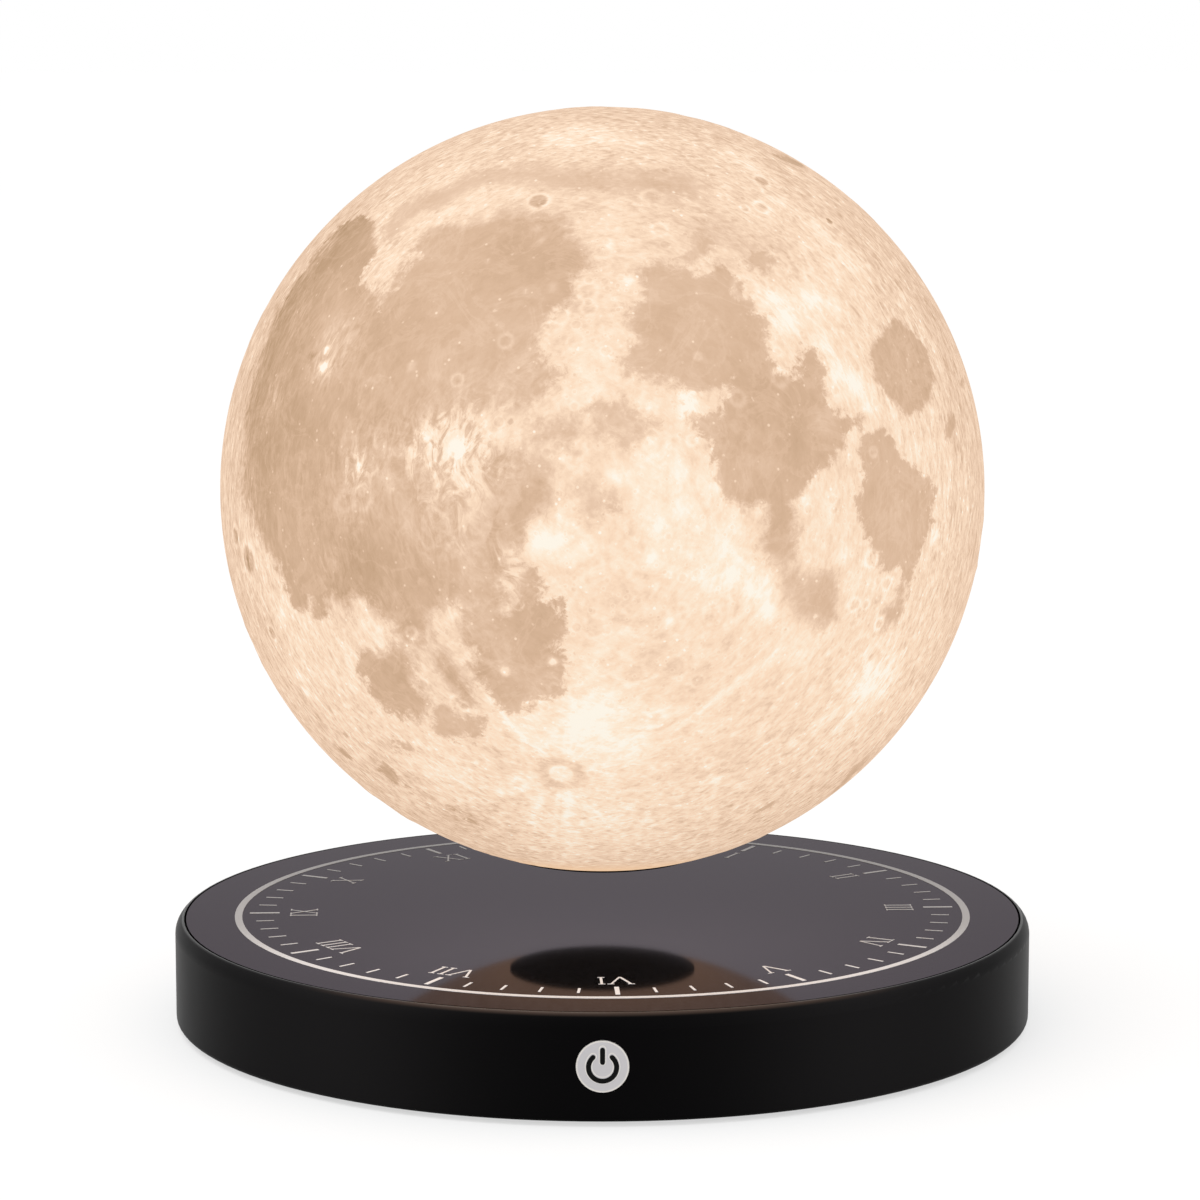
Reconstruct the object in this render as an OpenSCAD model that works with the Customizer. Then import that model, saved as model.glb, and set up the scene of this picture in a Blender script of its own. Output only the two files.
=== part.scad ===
// Levitating moon lamp.
// A printed moon with a magnet in its foot floats over a round stand. The stand holds the
// ring magnet and the four steering coils, and has a dark mirror dial and a power button.
// Millimetres, +Z up. The front, with the button, faces -Y. The origin is on the table,
// in the middle of the stand.

/* [Stand] */
// Outer diameter of the stand
base_d = 203.4; // [183:0.2:230]
// Height of the shell, without the feet
base_h = 24; // [21.5:0.5:32]
// Thickness of the shell's side wall
wall_t = 2.4; // [2.2:0.1:3]
// Thickness of the deck under the glass
deck_t = 2; // [1.6:0.1:2.2]
// Width of the rim around the glass
rim_w = 2.1; // [1.6:0.1:2.2]
// Width of the flat along the rim's crest
crest_w = 0.3; // [0.2:0.05:0.6]
// Radius of the rim's rounded outer edge
rim_round = 4; // [3:0.1:6]
// Radius of the rounding along the shell's lower edge
skirt_round = 1.2; // [0.4:0.1:2]
// Thickness of the bottom plate
plate_t = 2.5; // [2.2:0.1:3]
// Number of screws that hold the bottom plate
plate_screw_n = 6; // [6:6:6]
// Diameter of a screw boss under the deck
boss_d = 7; // [6:0.5:8]
// Distance from the shell's edge to the screws' centres
boss_inset = 9.2; // [8.5:0.1:9.6]

/* [Feet] */
// Diameter of a rubber foot
foot_d = 16; // [12:1:20]
// Thickness of a rubber foot
foot_t = 2; // [1.6:0.1:2.2]
// How far a foot stands out under the shell
foot_proud = 1; // [0.8:0.1:1.4]
// Distance from the middle of the stand to a foot's centre
foot_reach = 80; // [70:1:86]

/* [Glass dial] */
// Thickness of the mirror glass
glass_t = 2; // [1.8:0.1:3]
// How far the glass lies below the rim's crest
glass_inset = 0; // [0:0.1:0.6]
// Gap between the glass and the rim
glass_gap = 0.5; // [0.2:0.05:0.6]
// Thickness of the adhesive tape under the glass
tape_t = 0.5; // [0.1:0.05:0.5]
// Width of the ring of tape
tape_w = 16; // [8:1:20]
// Thickness of the printed ink
ink_t = 0.06; // [0.04:0.01:0.1]
// Outer diameter of the printed ring
ring_d = 175.2; // [160:0.2:190]
// Width of the printed ring
ring_w = 1.75; // [1:0.05:3]
// Length of an hour mark
hour_len = 7.05; // [5:0.05:9]
// Width of an hour mark
hour_w = 1.05; // [0.8:0.05:2]
// Length of a minute mark
minute_len = 4.2; // [3:0.1:6]
// Width of a minute mark
minute_w = 0.6; // [0.4:0.1:1]
// Gap between the printed ring and the hour marks
mark_gap = 1.75; // [1:0.05:3]
// Gap between the hour marks and the numerals
numeral_gap = 2.6; // [1.5:0.1:5]
// Height of a numeral
numeral_h = 6.5; // [5:0.1:8]
// How far the dial is turned, anticlockwise from above
dial_turn = 2.3; // [-10:0.1:10]

/* [Power button] */
// Diameter of the button
button_d = 11.5; // [9:0.5:11.5]
// Gap around the button
button_gap = 0.15; // [0.1:0.05:0.3]
// How far the button is pressed
button_travel = 0.7; // [0.4:0.1:1]
// Depth of the power symbol's inlay
symbol_depth = 0.4; // [0.2:0.1:0.6]
// Radius of the symbol's arc, along its middle
symbol_r = 3.03; // [2.6:0.01:3.4]
// Width of the symbol's strokes
symbol_stroke = 1.1; // [0.8:0.05:1.3]
// Half the angle of the arc's gap
symbol_gap_angle = 42; // [35:1:50]

/* [Levitation magnets and coils] */
// Thickness of the iron plate under the magnets
iron_t = 1.5; // [1:0.1:2]
// Width of the ring magnet's section
ring_magnet_w = 18; // [16:1:19]
// Thickness of a bobbin's flanges and hub
bobbin_t = 1; // [0.8:0.1:1.2]
// Diameter of a coil's iron core
core_d = 8; // [6:0.5:9]
// Thickness of the wireless power coil
power_coil_t = 1.8; // [1.2:0.1:2]

/* [Electronics] */
// Thickness of the circuit boards
board_t = 1.6; // [1:0.1:1.6]
// Width of the main board
main_board_w = 80; // [72:1:82]
// Height of the posts under the main board
post_h = 3.5; // [3:0.1:3.6]
// Diameter of the hole for the power plug in the shell
inlet_d = 8; // [7:0.5:9]
// Length of the power socket
jack_len = 14; // [12:0.5:15]
// Width of the power socket
jack_w = 9; // [9:0.5:10]

/* [Moon] */
// Diameter of the moon
moon_d = 180; // [150:1:200]
// Air gap between the glass and the floating moon
float_gap = 11.2; // [8:0.1:16]
// Thickness of the moon's printed shell
shell_t = 1.6; // [1.4:0.1:2]
// Diameter of the black cap under the moon
cap_d = 44.2; // [43.6:0.2:50]
// Diameter of the floating magnet
float_magnet_d = 30; // [26:0.5:30]
// Height of the floating magnet
float_magnet_h = 10; // [8:0.5:12]
// Air around the floating magnet
float_air = 0.3; // [0.2:0.05:0.4]
// Width of the receiver coil's section
receiver_coil_w = 2.6; // [2:0.1:2.6]
// Height of the receiver coil
receiver_coil_h = 6; // [4:0.5:7]
// Height of the pillars under the lamp board
pillar_h = 12; // [10:0.5:20]
// Number of light-emitting diodes in the ring
led_n = 8; // [6:1:10]

/* [Hidden] */

// Curves are drawn with this many sides, and cuts run this far past a face
$fn = 96;
over = 1;
// A joined piece reaches this far into what it grows from
bite = 0.4;
// Clearance of an inserted piece, and of a screw's shank in its hole
slip = 0.1;
thread_gap = 0.05;

// Stand: radii and levels
base_r = base_d / 2;
z_skirt = foot_proud;
z_rim = z_skirt + base_h;
rim_fall = rim_w - crest_w;
rim_drop = sqrt(pow(rim_round, 2) - pow(rim_round - rim_fall, 2));
inner_r = base_r - wall_t;
recess_r = base_r - rim_w;
z_glass = z_rim - glass_inset;
z_deck = z_glass - glass_t - tape_t;
z_roof = z_deck - deck_t;
z_plate = z_skirt + plate_t;
plate_r = inner_r - 0.2;
glass_r = recess_r - glass_gap;
boss_reach = base_r - boss_inset;

// Screws: shank diameters, head diameters and head heights
plate_screw_d = 3;
plate_head_d = 5.6;
plate_head_h = 1.1;
plate_grip = 8;
board_screw_d = 2.5;
board_head_d = 4.6;
board_head_h = 1.4;
sensor_screw_d = 3;
sensor_head_d = 5.4;
sensor_head_h = 1.2;
sensor_grip = 5;
lamp_screw_d = 2;
lamp_head_d = 3.6;
lamp_head_h = 1.2;
lamp_grip = 5;

// Dial
ring_r = ring_d / 2;
hour_top = ring_r - ring_w - mark_gap;
mark_mid = hour_top - hour_len / 2;
numeral_mid = hour_top - hour_len - numeral_gap - numeral_h / 2;
// Numerals from one to twelve
NUMERALS = ["I", "II", "III", "IV", "V", "VI", "VII", "VIII", "IX", "X", "XI", "XII"];
// A letter's thick and thin strokes, serifs, spread of its arms and room at its sides, as
// shares of its height
thick = 0.09;
thin = 0.07;
serif_w = 0.24;
serif_t = 0.05;
bar_pitch = 0.36;
vee_lean = 0.35;
cross_lean = 0.3;
side_room = 0.13;

// Power button, from the front backwards
button_r = button_d / 2;
button_y = -base_r;
flange_r = button_r + 1;
roof_gap = 0.25;
button_z = z_roof - roof_gap - flange_r;
flange_gap = 0.3;
flange_t = 1.2;
// The wall's inner face bends forward towards the flange's edge
flange_y = -sqrt(pow(inner_r, 2) - pow(flange_r, 2)) + flange_gap;
flange_back = flange_y + flange_t;
plunger_d = 3.5;
plunger_run = 2.6;
plunger_hole = 0.05;
switch_size = 6;
switch_deep = 3.5;
switch_room = button_travel + 1.2;
switch_y = flange_back + switch_room;
switch_board_y = switch_y + switch_deep;
switch_board_w = 18;
switch_board_gap = 1.6;
switch_board_h = z_roof - switch_board_gap - z_plate;
clip_w = 3;
clip_deep = 4.6;
clip_h = switch_board_h / 2;
clip_lap = 1.5;

// Magnets and coils: the ring magnet is a share of the stand's width, the coils fill its hole,
// and both are as tall as the sensors under the roof leave room for
ring_magnet_r = 0.295 * base_d;
ring_magnet_ri = ring_magnet_r - ring_magnet_w;
iron_edge = 1;
iron_r = ring_magnet_r + iron_edge;
hall_size = [4, 3, 1.5];
hall_reach = 5;
hall_gap = 0.4;
z_iron = z_plate + iron_t;
z_sensor = z_roof - hall_gap - hall_size[2];
z_coil_top = z_sensor - board_t;
magnet_h = z_coil_top - z_iron;
coil_reach = 0.62 * ring_magnet_ri;
bobbin_r = 0.3 * ring_magnet_ri;
core_r = core_d / 2;
hub_r = core_r + slip + bobbin_t;
winding_r = bobbin_r - 0.5;
sensor_board_rim = 11;
sensor_board_r = coil_reach + sensor_board_rim;

// Ribbon between the two boards: it passes over the magnet and down beside it
ribbon_w = 8;
ribbon_t = 0.3;
ribbon_lap = 7;
ribbon_in = sensor_board_r - ribbon_lap;
ribbon_down = iron_r + 0.3;

// Wireless power coil: it clears the screw bosses and the ribbon
coil_boss_gap = 9;
coil_ribbon_gap = 2.4;
power_coil_r = boss_reach - boss_d / 2 - coil_boss_gap;
power_coil_ri = ribbon_down + ribbon_t + coil_ribbon_gap;
z_power_coil = z_roof - power_coil_t;
shield_t = 0.6;

// Main board and what stands on it
board_iron_gap = 3;
board_wall_gap = 3.3;
main_board_ri = iron_r + board_iron_gap;
main_board_ro = inner_r - board_wall_gap;
z_post = z_plate + post_h;
z_board = z_post + board_t;
ribbon_end = main_board_ri + ribbon_w / 2;
post_r = 3;
post_side = 7;
post_back = 12;
post_x = main_board_w / 2 - post_side;
post_y = [main_board_ri, main_board_ro - post_back];
chip_size = [10, 7.5, 2.5];
chip_post_reach = 13;
chip_x = post_x - chip_post_reach;
sink_w = 14;
sink_deep = 12;
sink_roof_gap = 1;
sink_h = z_power_coil - shield_t - sink_roof_gap - chip_size[2] - z_board;
fin_n = 4;
fin_t = 1.2;
fin_base = sink_h / 4;
chip_row_y = main_board_ri + sink_deep / 2;
can_back = 10;
can_row_y = main_board_ro - can_back;
can_r = 4;
can_h = 9;
can_pitch = 10;
can_gap = 1.7;
can_post_reach = 9;
choke_r = 4.8;
choke_h = 8;
choke_post_reach = 8.5;
choke_x = post_x - choke_post_reach;
can_x = [can_post_reach - post_x, can_post_reach - post_x + can_pitch,
         choke_x - choke_r - can_r - can_gap];
controller_size = [8, 8, 1.2];
jack_roof_gap = 0.7;
jack_h = z_roof - jack_roof_gap - z_board;
jack_z = z_board + jack_h / 2;
jack_face = inner_r - 0.4;
jack_bore_r = 3;
jack_bore_len = 9.5;
jack_pin_r = 1.05;
jack_pin_len = 8.6;

// Lead from the button's board to the main board, laid on the bottom plate
lead_w = 2.4;
lead_t = 1;
lead_x = 5;
lead_boss_gap = 2.3;
lead_reach = boss_reach - boss_d / 2 - lead_boss_gap - lead_w / 2;
lead_end_angle = 64;

// Moon, measured up from its lowest point
moon_r = moon_d / 2;
z_moon_foot = z_glass + float_gap;
z_moon = z_moon_foot + moon_r;
function sag(r) = moon_r - sqrt(pow(moon_r, 2) - pow(r, 2));
cap_r = cap_d / 2;
cap_gap = 0.2;
barrel_r = cap_r - 1.4;
lip_t = 1.5;
lip_top = sag(cap_r) + lip_t;
collar_w = 3.5;
collar_rise = 4;
collar_r = cap_r + collar_w;
collar_h = lip_top + collar_rise;
float_r = float_magnet_d / 2;
well_r = float_r + float_air;
well_wall_r = well_r + 1;
well_floor = sag(well_r) + 1;
groove_ri = well_wall_r;
groove_ro = groove_ri + receiver_coil_w + 2 * slip;
groove_floor = sag(groove_ro) + 1.2;
magnet_low = well_floor + float_air;
yoke_t = 1.5;
cup_top = magnet_low + float_magnet_h + yoke_t + float_air;
ferrite_t = 1;
receiver_top = cup_top + board_t;
pillar_reach = 15.5;
pillar_r = 2.2;
pillar_n = 3;
lamp_low = receiver_top + pillar_h;
lamp_top = lamp_low + board_t;
lamp_board_r = barrel_r - 0.5;
led_size = [3.5, 2.8, 0.9];
led_reach = 9;
dome_r = lamp_board_r - 0.4;
dome_t = 1.2;
// Printed relief. Each entry has its turn about +Z from the front, its height above the
// moon's equator, both in degrees, and its radius
SEAS = [[-22, 29, 31], [14, 26, 19], [29, 7, 22], [53, 20, 12], [52, -3, 15], [-48, 4, 25],
        [-36, -28, 12], [-14, -20, 20], [34, -15, 9]];
CRATERS = [[-7, -45, 5.5], [-24, 5, 4.5], [-42, 3, 3.2], [-52, 20, 3], [-14, 51, 5], [27, 36, 3.6],
           [-65, -14, 4.4], [6, -14, 4.6], [22, -34, 5.4], [34, -48, 5], [2, -64, 5], [-40, -58, 5],
           [66, -24, 5], [96, 30, 7], [112, -20, 8], [141, 40, 6], [152, -44, 9], [168, 4, 7],
           [190, 30, 8], [206, -18, 6], [226, 46, 5], [234, -38, 8], [248, 6, 7], [276, 24, 6]];
sea_depth = 0.5;
crater_dip = 0.08;

// Places of repeated pieces
module plate_screw_spots() {
  for (i = [0 : plate_screw_n - 1])
    rotate(i * 360 / plate_screw_n)
      translate([boss_reach, 0, 0])
        children();
}

module foot_spots() {
  for (a = [45 : 90 : 315])
    rotate(a)
      translate([foot_reach, 0, 0])
        children();
}

module post_spots() {
  for (side = [-1, 1], y = post_y)
    translate([side * post_x, y, 0])
      children();
}

module coil_spots() {
  for (a = [0 : 90 : 270])
    rotate(a + 45)
      translate([coil_reach, 0, 0])
        children();
}

module pillar_spots() {
  for (i = [0 : pillar_n - 1])
    rotate(i * 360 / pillar_n)
      translate([pillar_reach, 0, 0])
        children();
}

// Turns a shape drawn upright so that it grows towards the front from the plane at y
module facing_front(y, z) {
  translate([0, y, z])
    rotate([90, 0, 0])
      children();
}

module tube(r_out, r_in, h) {
  difference() {
    cylinder(r = r_out, h = h);
    translate([0, 0, -over])
      cylinder(r = r_in, h = h + 2 * over);
  }
}

module block(size) {
  translate([-size[0] / 2, -size[1] / 2, 0])
    cube(size);
}

// A screw with its head's seat at z = 0 and its shank downwards
module screw(d, head_d, head_h, grip) {
  translate([0, 0, -grip])
    cylinder(d = d, h = grip + bite);
  difference() {
    cylinder(d = head_d, h = head_h);
    translate([0, 0, head_h / 2])
      cylinder(d = d * 0.8, h = head_h, $fn = 6);
  }
}

// Stand
module shell_profile() {
  difference() {
    translate([0, z_skirt])
      square([base_r, base_h]);
    translate([-over, z_skirt - over])
      square([inner_r + over, z_roof - z_skirt + over]);
    translate([-over, z_deck])
      square([recess_r + over, base_h]);
    translate([base_r - rim_round, z_rim - rim_drop])
      difference() {
        square(rim_round + over);
        circle(r = rim_round);
      }
    translate([base_r - skirt_round, z_skirt + skirt_round])
      difference() {
        translate([0, -skirt_round - over])
          square(skirt_round + over);
        circle(r = skirt_round);
      }
  }
}

module base_shell() {
  color("#161617")
    difference() {
      union() {
        rotate_extrude()
          shell_profile();
        plate_screw_spots()
          translate([0, 0, z_plate])
            cylinder(d = boss_d, h = z_roof - z_plate + bite);
      }
      plate_screw_spots()
        translate([0, 0, z_plate - over])
          cylinder(d = plate_screw_d + 2 * thread_gap, h = plate_grip + over);
      facing_front(button_y + wall_t + over, button_z)
        cylinder(r = button_r + button_gap, h = wall_t + 2 * over);
      facing_front(base_r + over, jack_z)
        cylinder(d = inlet_d, h = wall_t + 2 * over);
    }
}

module mirror_glass() {
  color("#3c3a3d")
    translate([0, 0, z_glass - glass_t])
      cylinder(r = glass_r, h = glass_t);
}

module glass_tape() {
  color("#0c0c0c")
    translate([0, 0, z_deck])
      tube(glass_r - 0.5, glass_r - tape_w, tape_t);
}

// Printed dial
module ink(shade) {
  color(shade)
    translate([0, 0, z_glass])
      linear_extrude(ink_t)
        children();
}

module minute_ring() {
  ink("#c9c4c4")
    difference() {
      circle(r = ring_r);
      circle(r = ring_r - ring_w);
    }
}

module mark(w, len) {
  translate([-w / 2, mark_mid - len / 2])
    square([w, len]);
}

module minute_marks() {
  ink("#b9b4b5")
    for (i = [0 : 59])
      if (i % 5 != 0)
        rotate(dial_turn - 6 * i)
          mark(minute_w, minute_len);
}

module hour_marks() {
  ink("#c9c4c4")
    for (i = [1 : 12])
      rotate(dial_turn - 30 * i)
        mark(hour_w, hour_len);
}

module serif(x, y) {
  translate([x - serif_w / 2, y])
    square([serif_w, serif_t]);
}

// A stroke of width w that leans from x0 at the foot to x1 at the top
module stroke(x0, x1, w) {
  polygon([[x0 - w / 2, 0], [x0 + w / 2, 0], [x1 + w / 2, 1], [x1 - w / 2, 1]]);
}

function letter_lean(c) = c == "V" ? vee_lean : cross_lean;
function letter_w(c) = c == "I" ? bar_pitch : 2 * (letter_lean(c) + side_room);

// A letter of height 1, centred on x = 0
module letter(c) {
  lean = letter_lean(c);
  if (c == "I") {
    stroke(0, 0, thick);
    serif(0, 0);
    serif(0, 1 - serif_t);
  }
  if (c == "V") {
    stroke(0, -lean, thick);
    stroke(0.02, lean, thin);
    serif(-lean, 1 - serif_t);
    serif(lean, 1 - serif_t);
  }
  if (c == "X") {
    stroke(lean, -lean, thick);
    stroke(-lean, lean, thin);
    for (side = [-1, 1]) {
      serif(side * lean, 0);
      serif(side * lean, 1 - serif_t);
    }
  }
}

// Sum of the widths of a numeral's first n letters
function width_of(s, n) = n == 0 ? 0 : letter_w(s[n - 1]) + width_of(s, n - 1);

module numeral(s) {
  start = -width_of(s, len(s)) / 2;
  for (i = [0 : len(s) - 1])
    translate([start + width_of(s, i) + letter_w(s[i]) / 2, 0])
      letter(s[i]);
}

module hour_numerals() {
  ink("#c9c4c4")
    for (i = [1 : 12])
      rotate(dial_turn - 30 * i)
        translate([0, numeral_mid - numeral_h / 2])
          scale(numeral_h)
            numeral(NUMERALS[i - 1]);
}

// Bottom plate, its screws and feet
module switch_clips() {
  for (side = [-1, 1])
    translate([side * (switch_board_w / 2 + clip_w / 2 - clip_lap), switch_board_y + board_t / 2, 0])
      difference() {
        translate([0, 0, z_plate - bite])
          block([clip_w, clip_deep, clip_h + bite]);
        translate([-side * (clip_w - clip_lap), 0, z_plate])
          block([clip_w + slip, board_t + 2 * slip, clip_h + over]);
      }
}

module bottom_plate() {
  color("#232324")
    difference() {
      union() {
        translate([0, 0, z_skirt])
          cylinder(r = plate_r, h = plate_t);
        post_spots()
          translate([0, 0, z_plate - bite])
            cylinder(r = post_r, h = post_h + bite);
        switch_clips();
      }
      plate_screw_spots()
        translate([0, 0, z_skirt - over]) {
          cylinder(d = plate_screw_d + 4 * slip, h = plate_t + 2 * over);
          cylinder(d = plate_head_d + 4 * slip, h = plate_head_h + over);
        }
      foot_spots()
        translate([0, 0, z_skirt - over])
          cylinder(d = foot_d + 2 * slip, h = foot_t - foot_proud + over);
      post_spots()
        translate([0, 0, z_plate])
          cylinder(d = board_screw_d + 2 * thread_gap, h = post_h + over);
    }
}

module plate_screws() {
  color("#8d8f93")
    plate_screw_spots()
      translate([0, 0, z_skirt + plate_head_h])
        rotate([180, 0, 0])
          screw(plate_screw_d, plate_head_d, plate_head_h, plate_t - plate_head_h + plate_grip - over);
}

module rubber_feet() {
  color("#1d1d1d")
    foot_spots()
      cylinder(d = foot_d, h = foot_t);
}

// Ring magnet, steering coils and sensors
module back_iron() {
  color("#7b7f85")
    translate([0, 0, z_plate])
      cylinder(r = iron_r, h = iron_t);
}

module field_magnet() {
  color("#3b3e42")
    translate([0, 0, z_iron])
      tube(ring_magnet_r, ring_magnet_ri, magnet_h);
}

module coil_cores() {
  color("#9a9da2")
    coil_spots()
      difference() {
        translate([0, 0, z_iron])
          cylinder(r = core_r, h = magnet_h);
        translate([0, 0, z_coil_top - sensor_grip - over])
          cylinder(d = sensor_screw_d + 2 * thread_gap, h = sensor_grip + 2 * over);
      }
}

module coil_bobbins() {
  color("#e4dfd0")
    coil_spots()
      translate([0, 0, z_iron])
        difference() {
          cylinder(r = bobbin_r, h = magnet_h);
          translate([0, 0, bobbin_t])
            tube(bobbin_r + over, hub_r, magnet_h - 2 * bobbin_t);
          translate([0, 0, -over])
            cylinder(r = core_r + slip, h = magnet_h + 2 * over);
        }
}

module coil_windings() {
  color("#b4622a")
    coil_spots()
      translate([0, 0, z_iron + bobbin_t + slip])
        tube(winding_r, hub_r + slip, magnet_h - 2 * bobbin_t - 2 * slip);
}

module sensor_board() {
  color("#1f5a38")
    difference() {
      translate([0, 0, z_coil_top])
        cylinder(r = sensor_board_r, h = board_t);
      coil_spots()
        translate([0, 0, z_coil_top - over])
          cylinder(d = sensor_screw_d + 2 * slip, h = board_t + 2 * over);
    }
}

module sensor_screws() {
  color("#a5a7ab")
    coil_spots()
      translate([0, 0, z_sensor])
        screw(sensor_screw_d, sensor_head_d, sensor_head_h, sensor_grip + board_t - over);
}

module hall_sensors() {
  color("#1a1a1a")
    for (a = [0, 120, 240])
      rotate(a)
        translate([hall_reach, 0, z_sensor])
          block(hall_size);
}

module ribbon_cable() {
  low = z_board;
  high = z_sensor;
  color("#b9b9bd")
    translate([-ribbon_w / 2, 0, 0]) {
      translate([0, ribbon_in, high])
        cube([ribbon_w, ribbon_down + ribbon_t - ribbon_in, ribbon_t]);
      translate([0, ribbon_down, low])
        cube([ribbon_w, ribbon_t, high + ribbon_t - low]);
      translate([0, ribbon_down, low])
        cube([ribbon_w, ribbon_end - ribbon_down, ribbon_t]);
    }
}

module power_coil() {
  color("#b4622a")
    translate([0, 0, z_power_coil])
      tube(power_coil_r, power_coil_ri, power_coil_t);
}

module power_coil_shield() {
  color("#2b2b2e")
    translate([0, 0, z_power_coil - shield_t])
      tube(power_coil_r, power_coil_ri, shield_t);
}

// Main board
module main_board() {
  color("#1f5a38")
    difference() {
      intersection() {
        translate([0, 0, z_post])
          tube(main_board_ro, main_board_ri, board_t);
        translate([-main_board_w / 2, 0, z_post - over])
          cube([main_board_w, base_r, board_t + 2 * over]);
      }
      post_spots()
        translate([0, 0, z_post - over])
          cylinder(d = board_screw_d + 2 * slip, h = board_t + 2 * over);
    }
}

module board_screws() {
  color("#a5a7ab")
    post_spots()
      translate([0, 0, z_board])
        screw(board_screw_d, board_head_d, board_head_h, board_t + post_h - slip);
}

module controller_chip() {
  color("#161616")
    translate([0, ribbon_end + 1 + controller_size[1] / 2, z_board])
      block(controller_size);
}

module driver_chips() {
  color("#161616")
    for (side = [-1, 1])
      translate([side * chip_x, chip_row_y, z_board])
        block(chip_size);
}

module heat_sinks() {
  pitch = (sink_w - fin_t) / (fin_n - 1);
  color("#b9bcc1")
    for (side = [-1, 1])
      translate([side * chip_x, chip_row_y, z_board + chip_size[2]])
        difference() {
          block([sink_w, sink_deep, sink_h]);
          for (i = [0 : fin_n - 2])
            translate([(i - (fin_n - 2) / 2) * pitch, 0, fin_base])
              block([pitch - fin_t, sink_deep + 2 * over, sink_h]);
        }
}

module capacitors() {
  color("#2a3550")
    for (x = can_x)
      translate([x, can_row_y, z_board])
        difference() {
          cylinder(r = can_r, h = can_h);
          translate([0, 0, bite])
            tube(can_r + over, can_r - 0.3, 0.6);
        }
}

module choke() {
  color("#3a3a3c")
    translate([choke_x, can_row_y, z_board])
      difference() {
        cylinder(r = choke_r, h = choke_h);
        translate([0, 0, choke_h / 4])
          tube(choke_r + over, choke_r - 1, choke_h / 2);
      }
}

module jack_housing() {
  color("#111112")
    difference() {
      translate([0, jack_face - jack_len / 2, z_board])
        block([jack_w, jack_len, jack_h]);
      facing_front(jack_face + over, jack_z)
        cylinder(r = jack_bore_r, h = jack_bore_len + over);
    }
}

module jack_pin() {
  color("#c8c9cc")
    facing_front(jack_face - jack_bore_len + jack_pin_len, jack_z)
      cylinder(r = jack_pin_r, h = jack_pin_len);
}

// Button, its switch and its lead
module symbol_shape() {
  edge = symbol_r + 2 * symbol_stroke;
  difference() {
    circle(r = symbol_r + symbol_stroke / 2);
    circle(r = symbol_r - symbol_stroke / 2);
    polygon([[0, 0],
             [-edge * sin(symbol_gap_angle), edge * cos(symbol_gap_angle)],
             [edge * sin(symbol_gap_angle), edge * cos(symbol_gap_angle)]]);
  }
  // Round ends, a hair narrower than the strokes
  end_d = symbol_stroke - 0.04;
  for (side = [-1, 1])
    rotate(side * symbol_gap_angle)
      translate([0, symbol_r])
        circle(d = end_d);
  bar_low = symbol_stroke;
  bar_high = symbol_r + symbol_stroke * 0.75;
  translate([-symbol_stroke / 2, bar_low])
    square([symbol_stroke, bar_high - bar_low]);
  for (y = [bar_low, bar_high])
    translate([0, y])
      circle(d = end_d);
}

module symbol_inlay() {
  facing_front(button_y + symbol_depth, button_z)
    translate([0, -0.2, 0])
      linear_extrude(symbol_depth)
        symbol_shape();
}

module power_button() {
  color("#cfcdcc")
    difference() {
      union() {
        facing_front(flange_back, button_z)
          cylinder(r = button_r, h = flange_back - button_y);
        facing_front(flange_back, button_z)
          cylinder(r = flange_r, h = flange_t);
      }
      symbol_inlay();
    }
}

module power_symbol() {
  color("#18181a")
    symbol_inlay();
}

module switch_plunger() {
  color("#202022")
    facing_front(flange_back + plunger_run, button_z)
      cylinder(d = plunger_d, h = plunger_run);
}

module switch_body() {
  color("#3a3b3e")
    difference() {
      translate([0, switch_y + switch_deep / 2, button_z - switch_size / 2])
        block([switch_size, switch_deep, switch_size]);
      facing_front(switch_y + plunger_run - switch_room + button_travel + slip, button_z)
        cylinder(d = plunger_d + 2 * plunger_hole, h = plunger_run + over);
    }
}

module switch_board() {
  color("#1f5a38")
    translate([0, switch_board_y + board_t / 2, z_plate])
      block([switch_board_w, board_t, switch_board_h]);
}

module button_lead() {
  start_angle = asin(lead_x / lead_reach) - 90;
  board_back = switch_board_y + board_t;
  run_end = -sqrt(pow(lead_reach, 2) - pow(lead_x, 2)) + lead_w / 2;
  color("#8a2020")
    translate([0, 0, z_plate]) {
      rotate(start_angle)
        rotate_extrude(angle = lead_end_angle - start_angle)
          translate([lead_reach - lead_w / 2, 0])
            square([lead_w, lead_t]);
      translate([lead_x - lead_w / 2, board_back, 0])
        cube([lead_w, run_end - board_back, lead_t]);
      rotate(lead_end_angle)
        translate([lead_reach - lead_w / 2, -lead_w, 0])
          cube([lead_w, lead_w, post_h]);
    }
}

// Moon: each piece is drawn upwards from the moon's lowest point
module in_moon(z) {
  translate([0, 0, z_moon_foot + z])
    children();
}

module ball(r) {
  in_moon(moon_r)
    sphere(r = r);
}

// Turns a shape on the moon's front round to its place
module on_moon(turn, rise) {
  in_moon(moon_r)
    rotate([0, 0, turn])
      rotate([-rise, 0, 0])
        children();
}

// A ball that is hollowed out of the surface: it meets it along a circle of radius r and
// reaches below it in the middle
module crater(turn, rise, r) {
  dip = crater_dip * r;
  cut_r = (r * r + dip * dip) / (2 * dip);
  on_moon(turn, rise)
    translate([0, -moon_r + sag(r) + dip - cut_r, 0])
      sphere(r = cut_r);
}

// The larger ball that a sea's flatter floor is part of: it also meets the surface along a
// circle of radius r
module sea_floor(turn, rise, r) {
  dip = min(sea_depth, sag(r) / 2);
  swell = sag(r) - dip;
  floor_r = (r * r + swell * swell) / (2 * swell);
  on_moon(turn, rise)
    translate([0, -moon_r + dip + floor_r, 0])
      sphere(r = floor_r);
}

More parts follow.
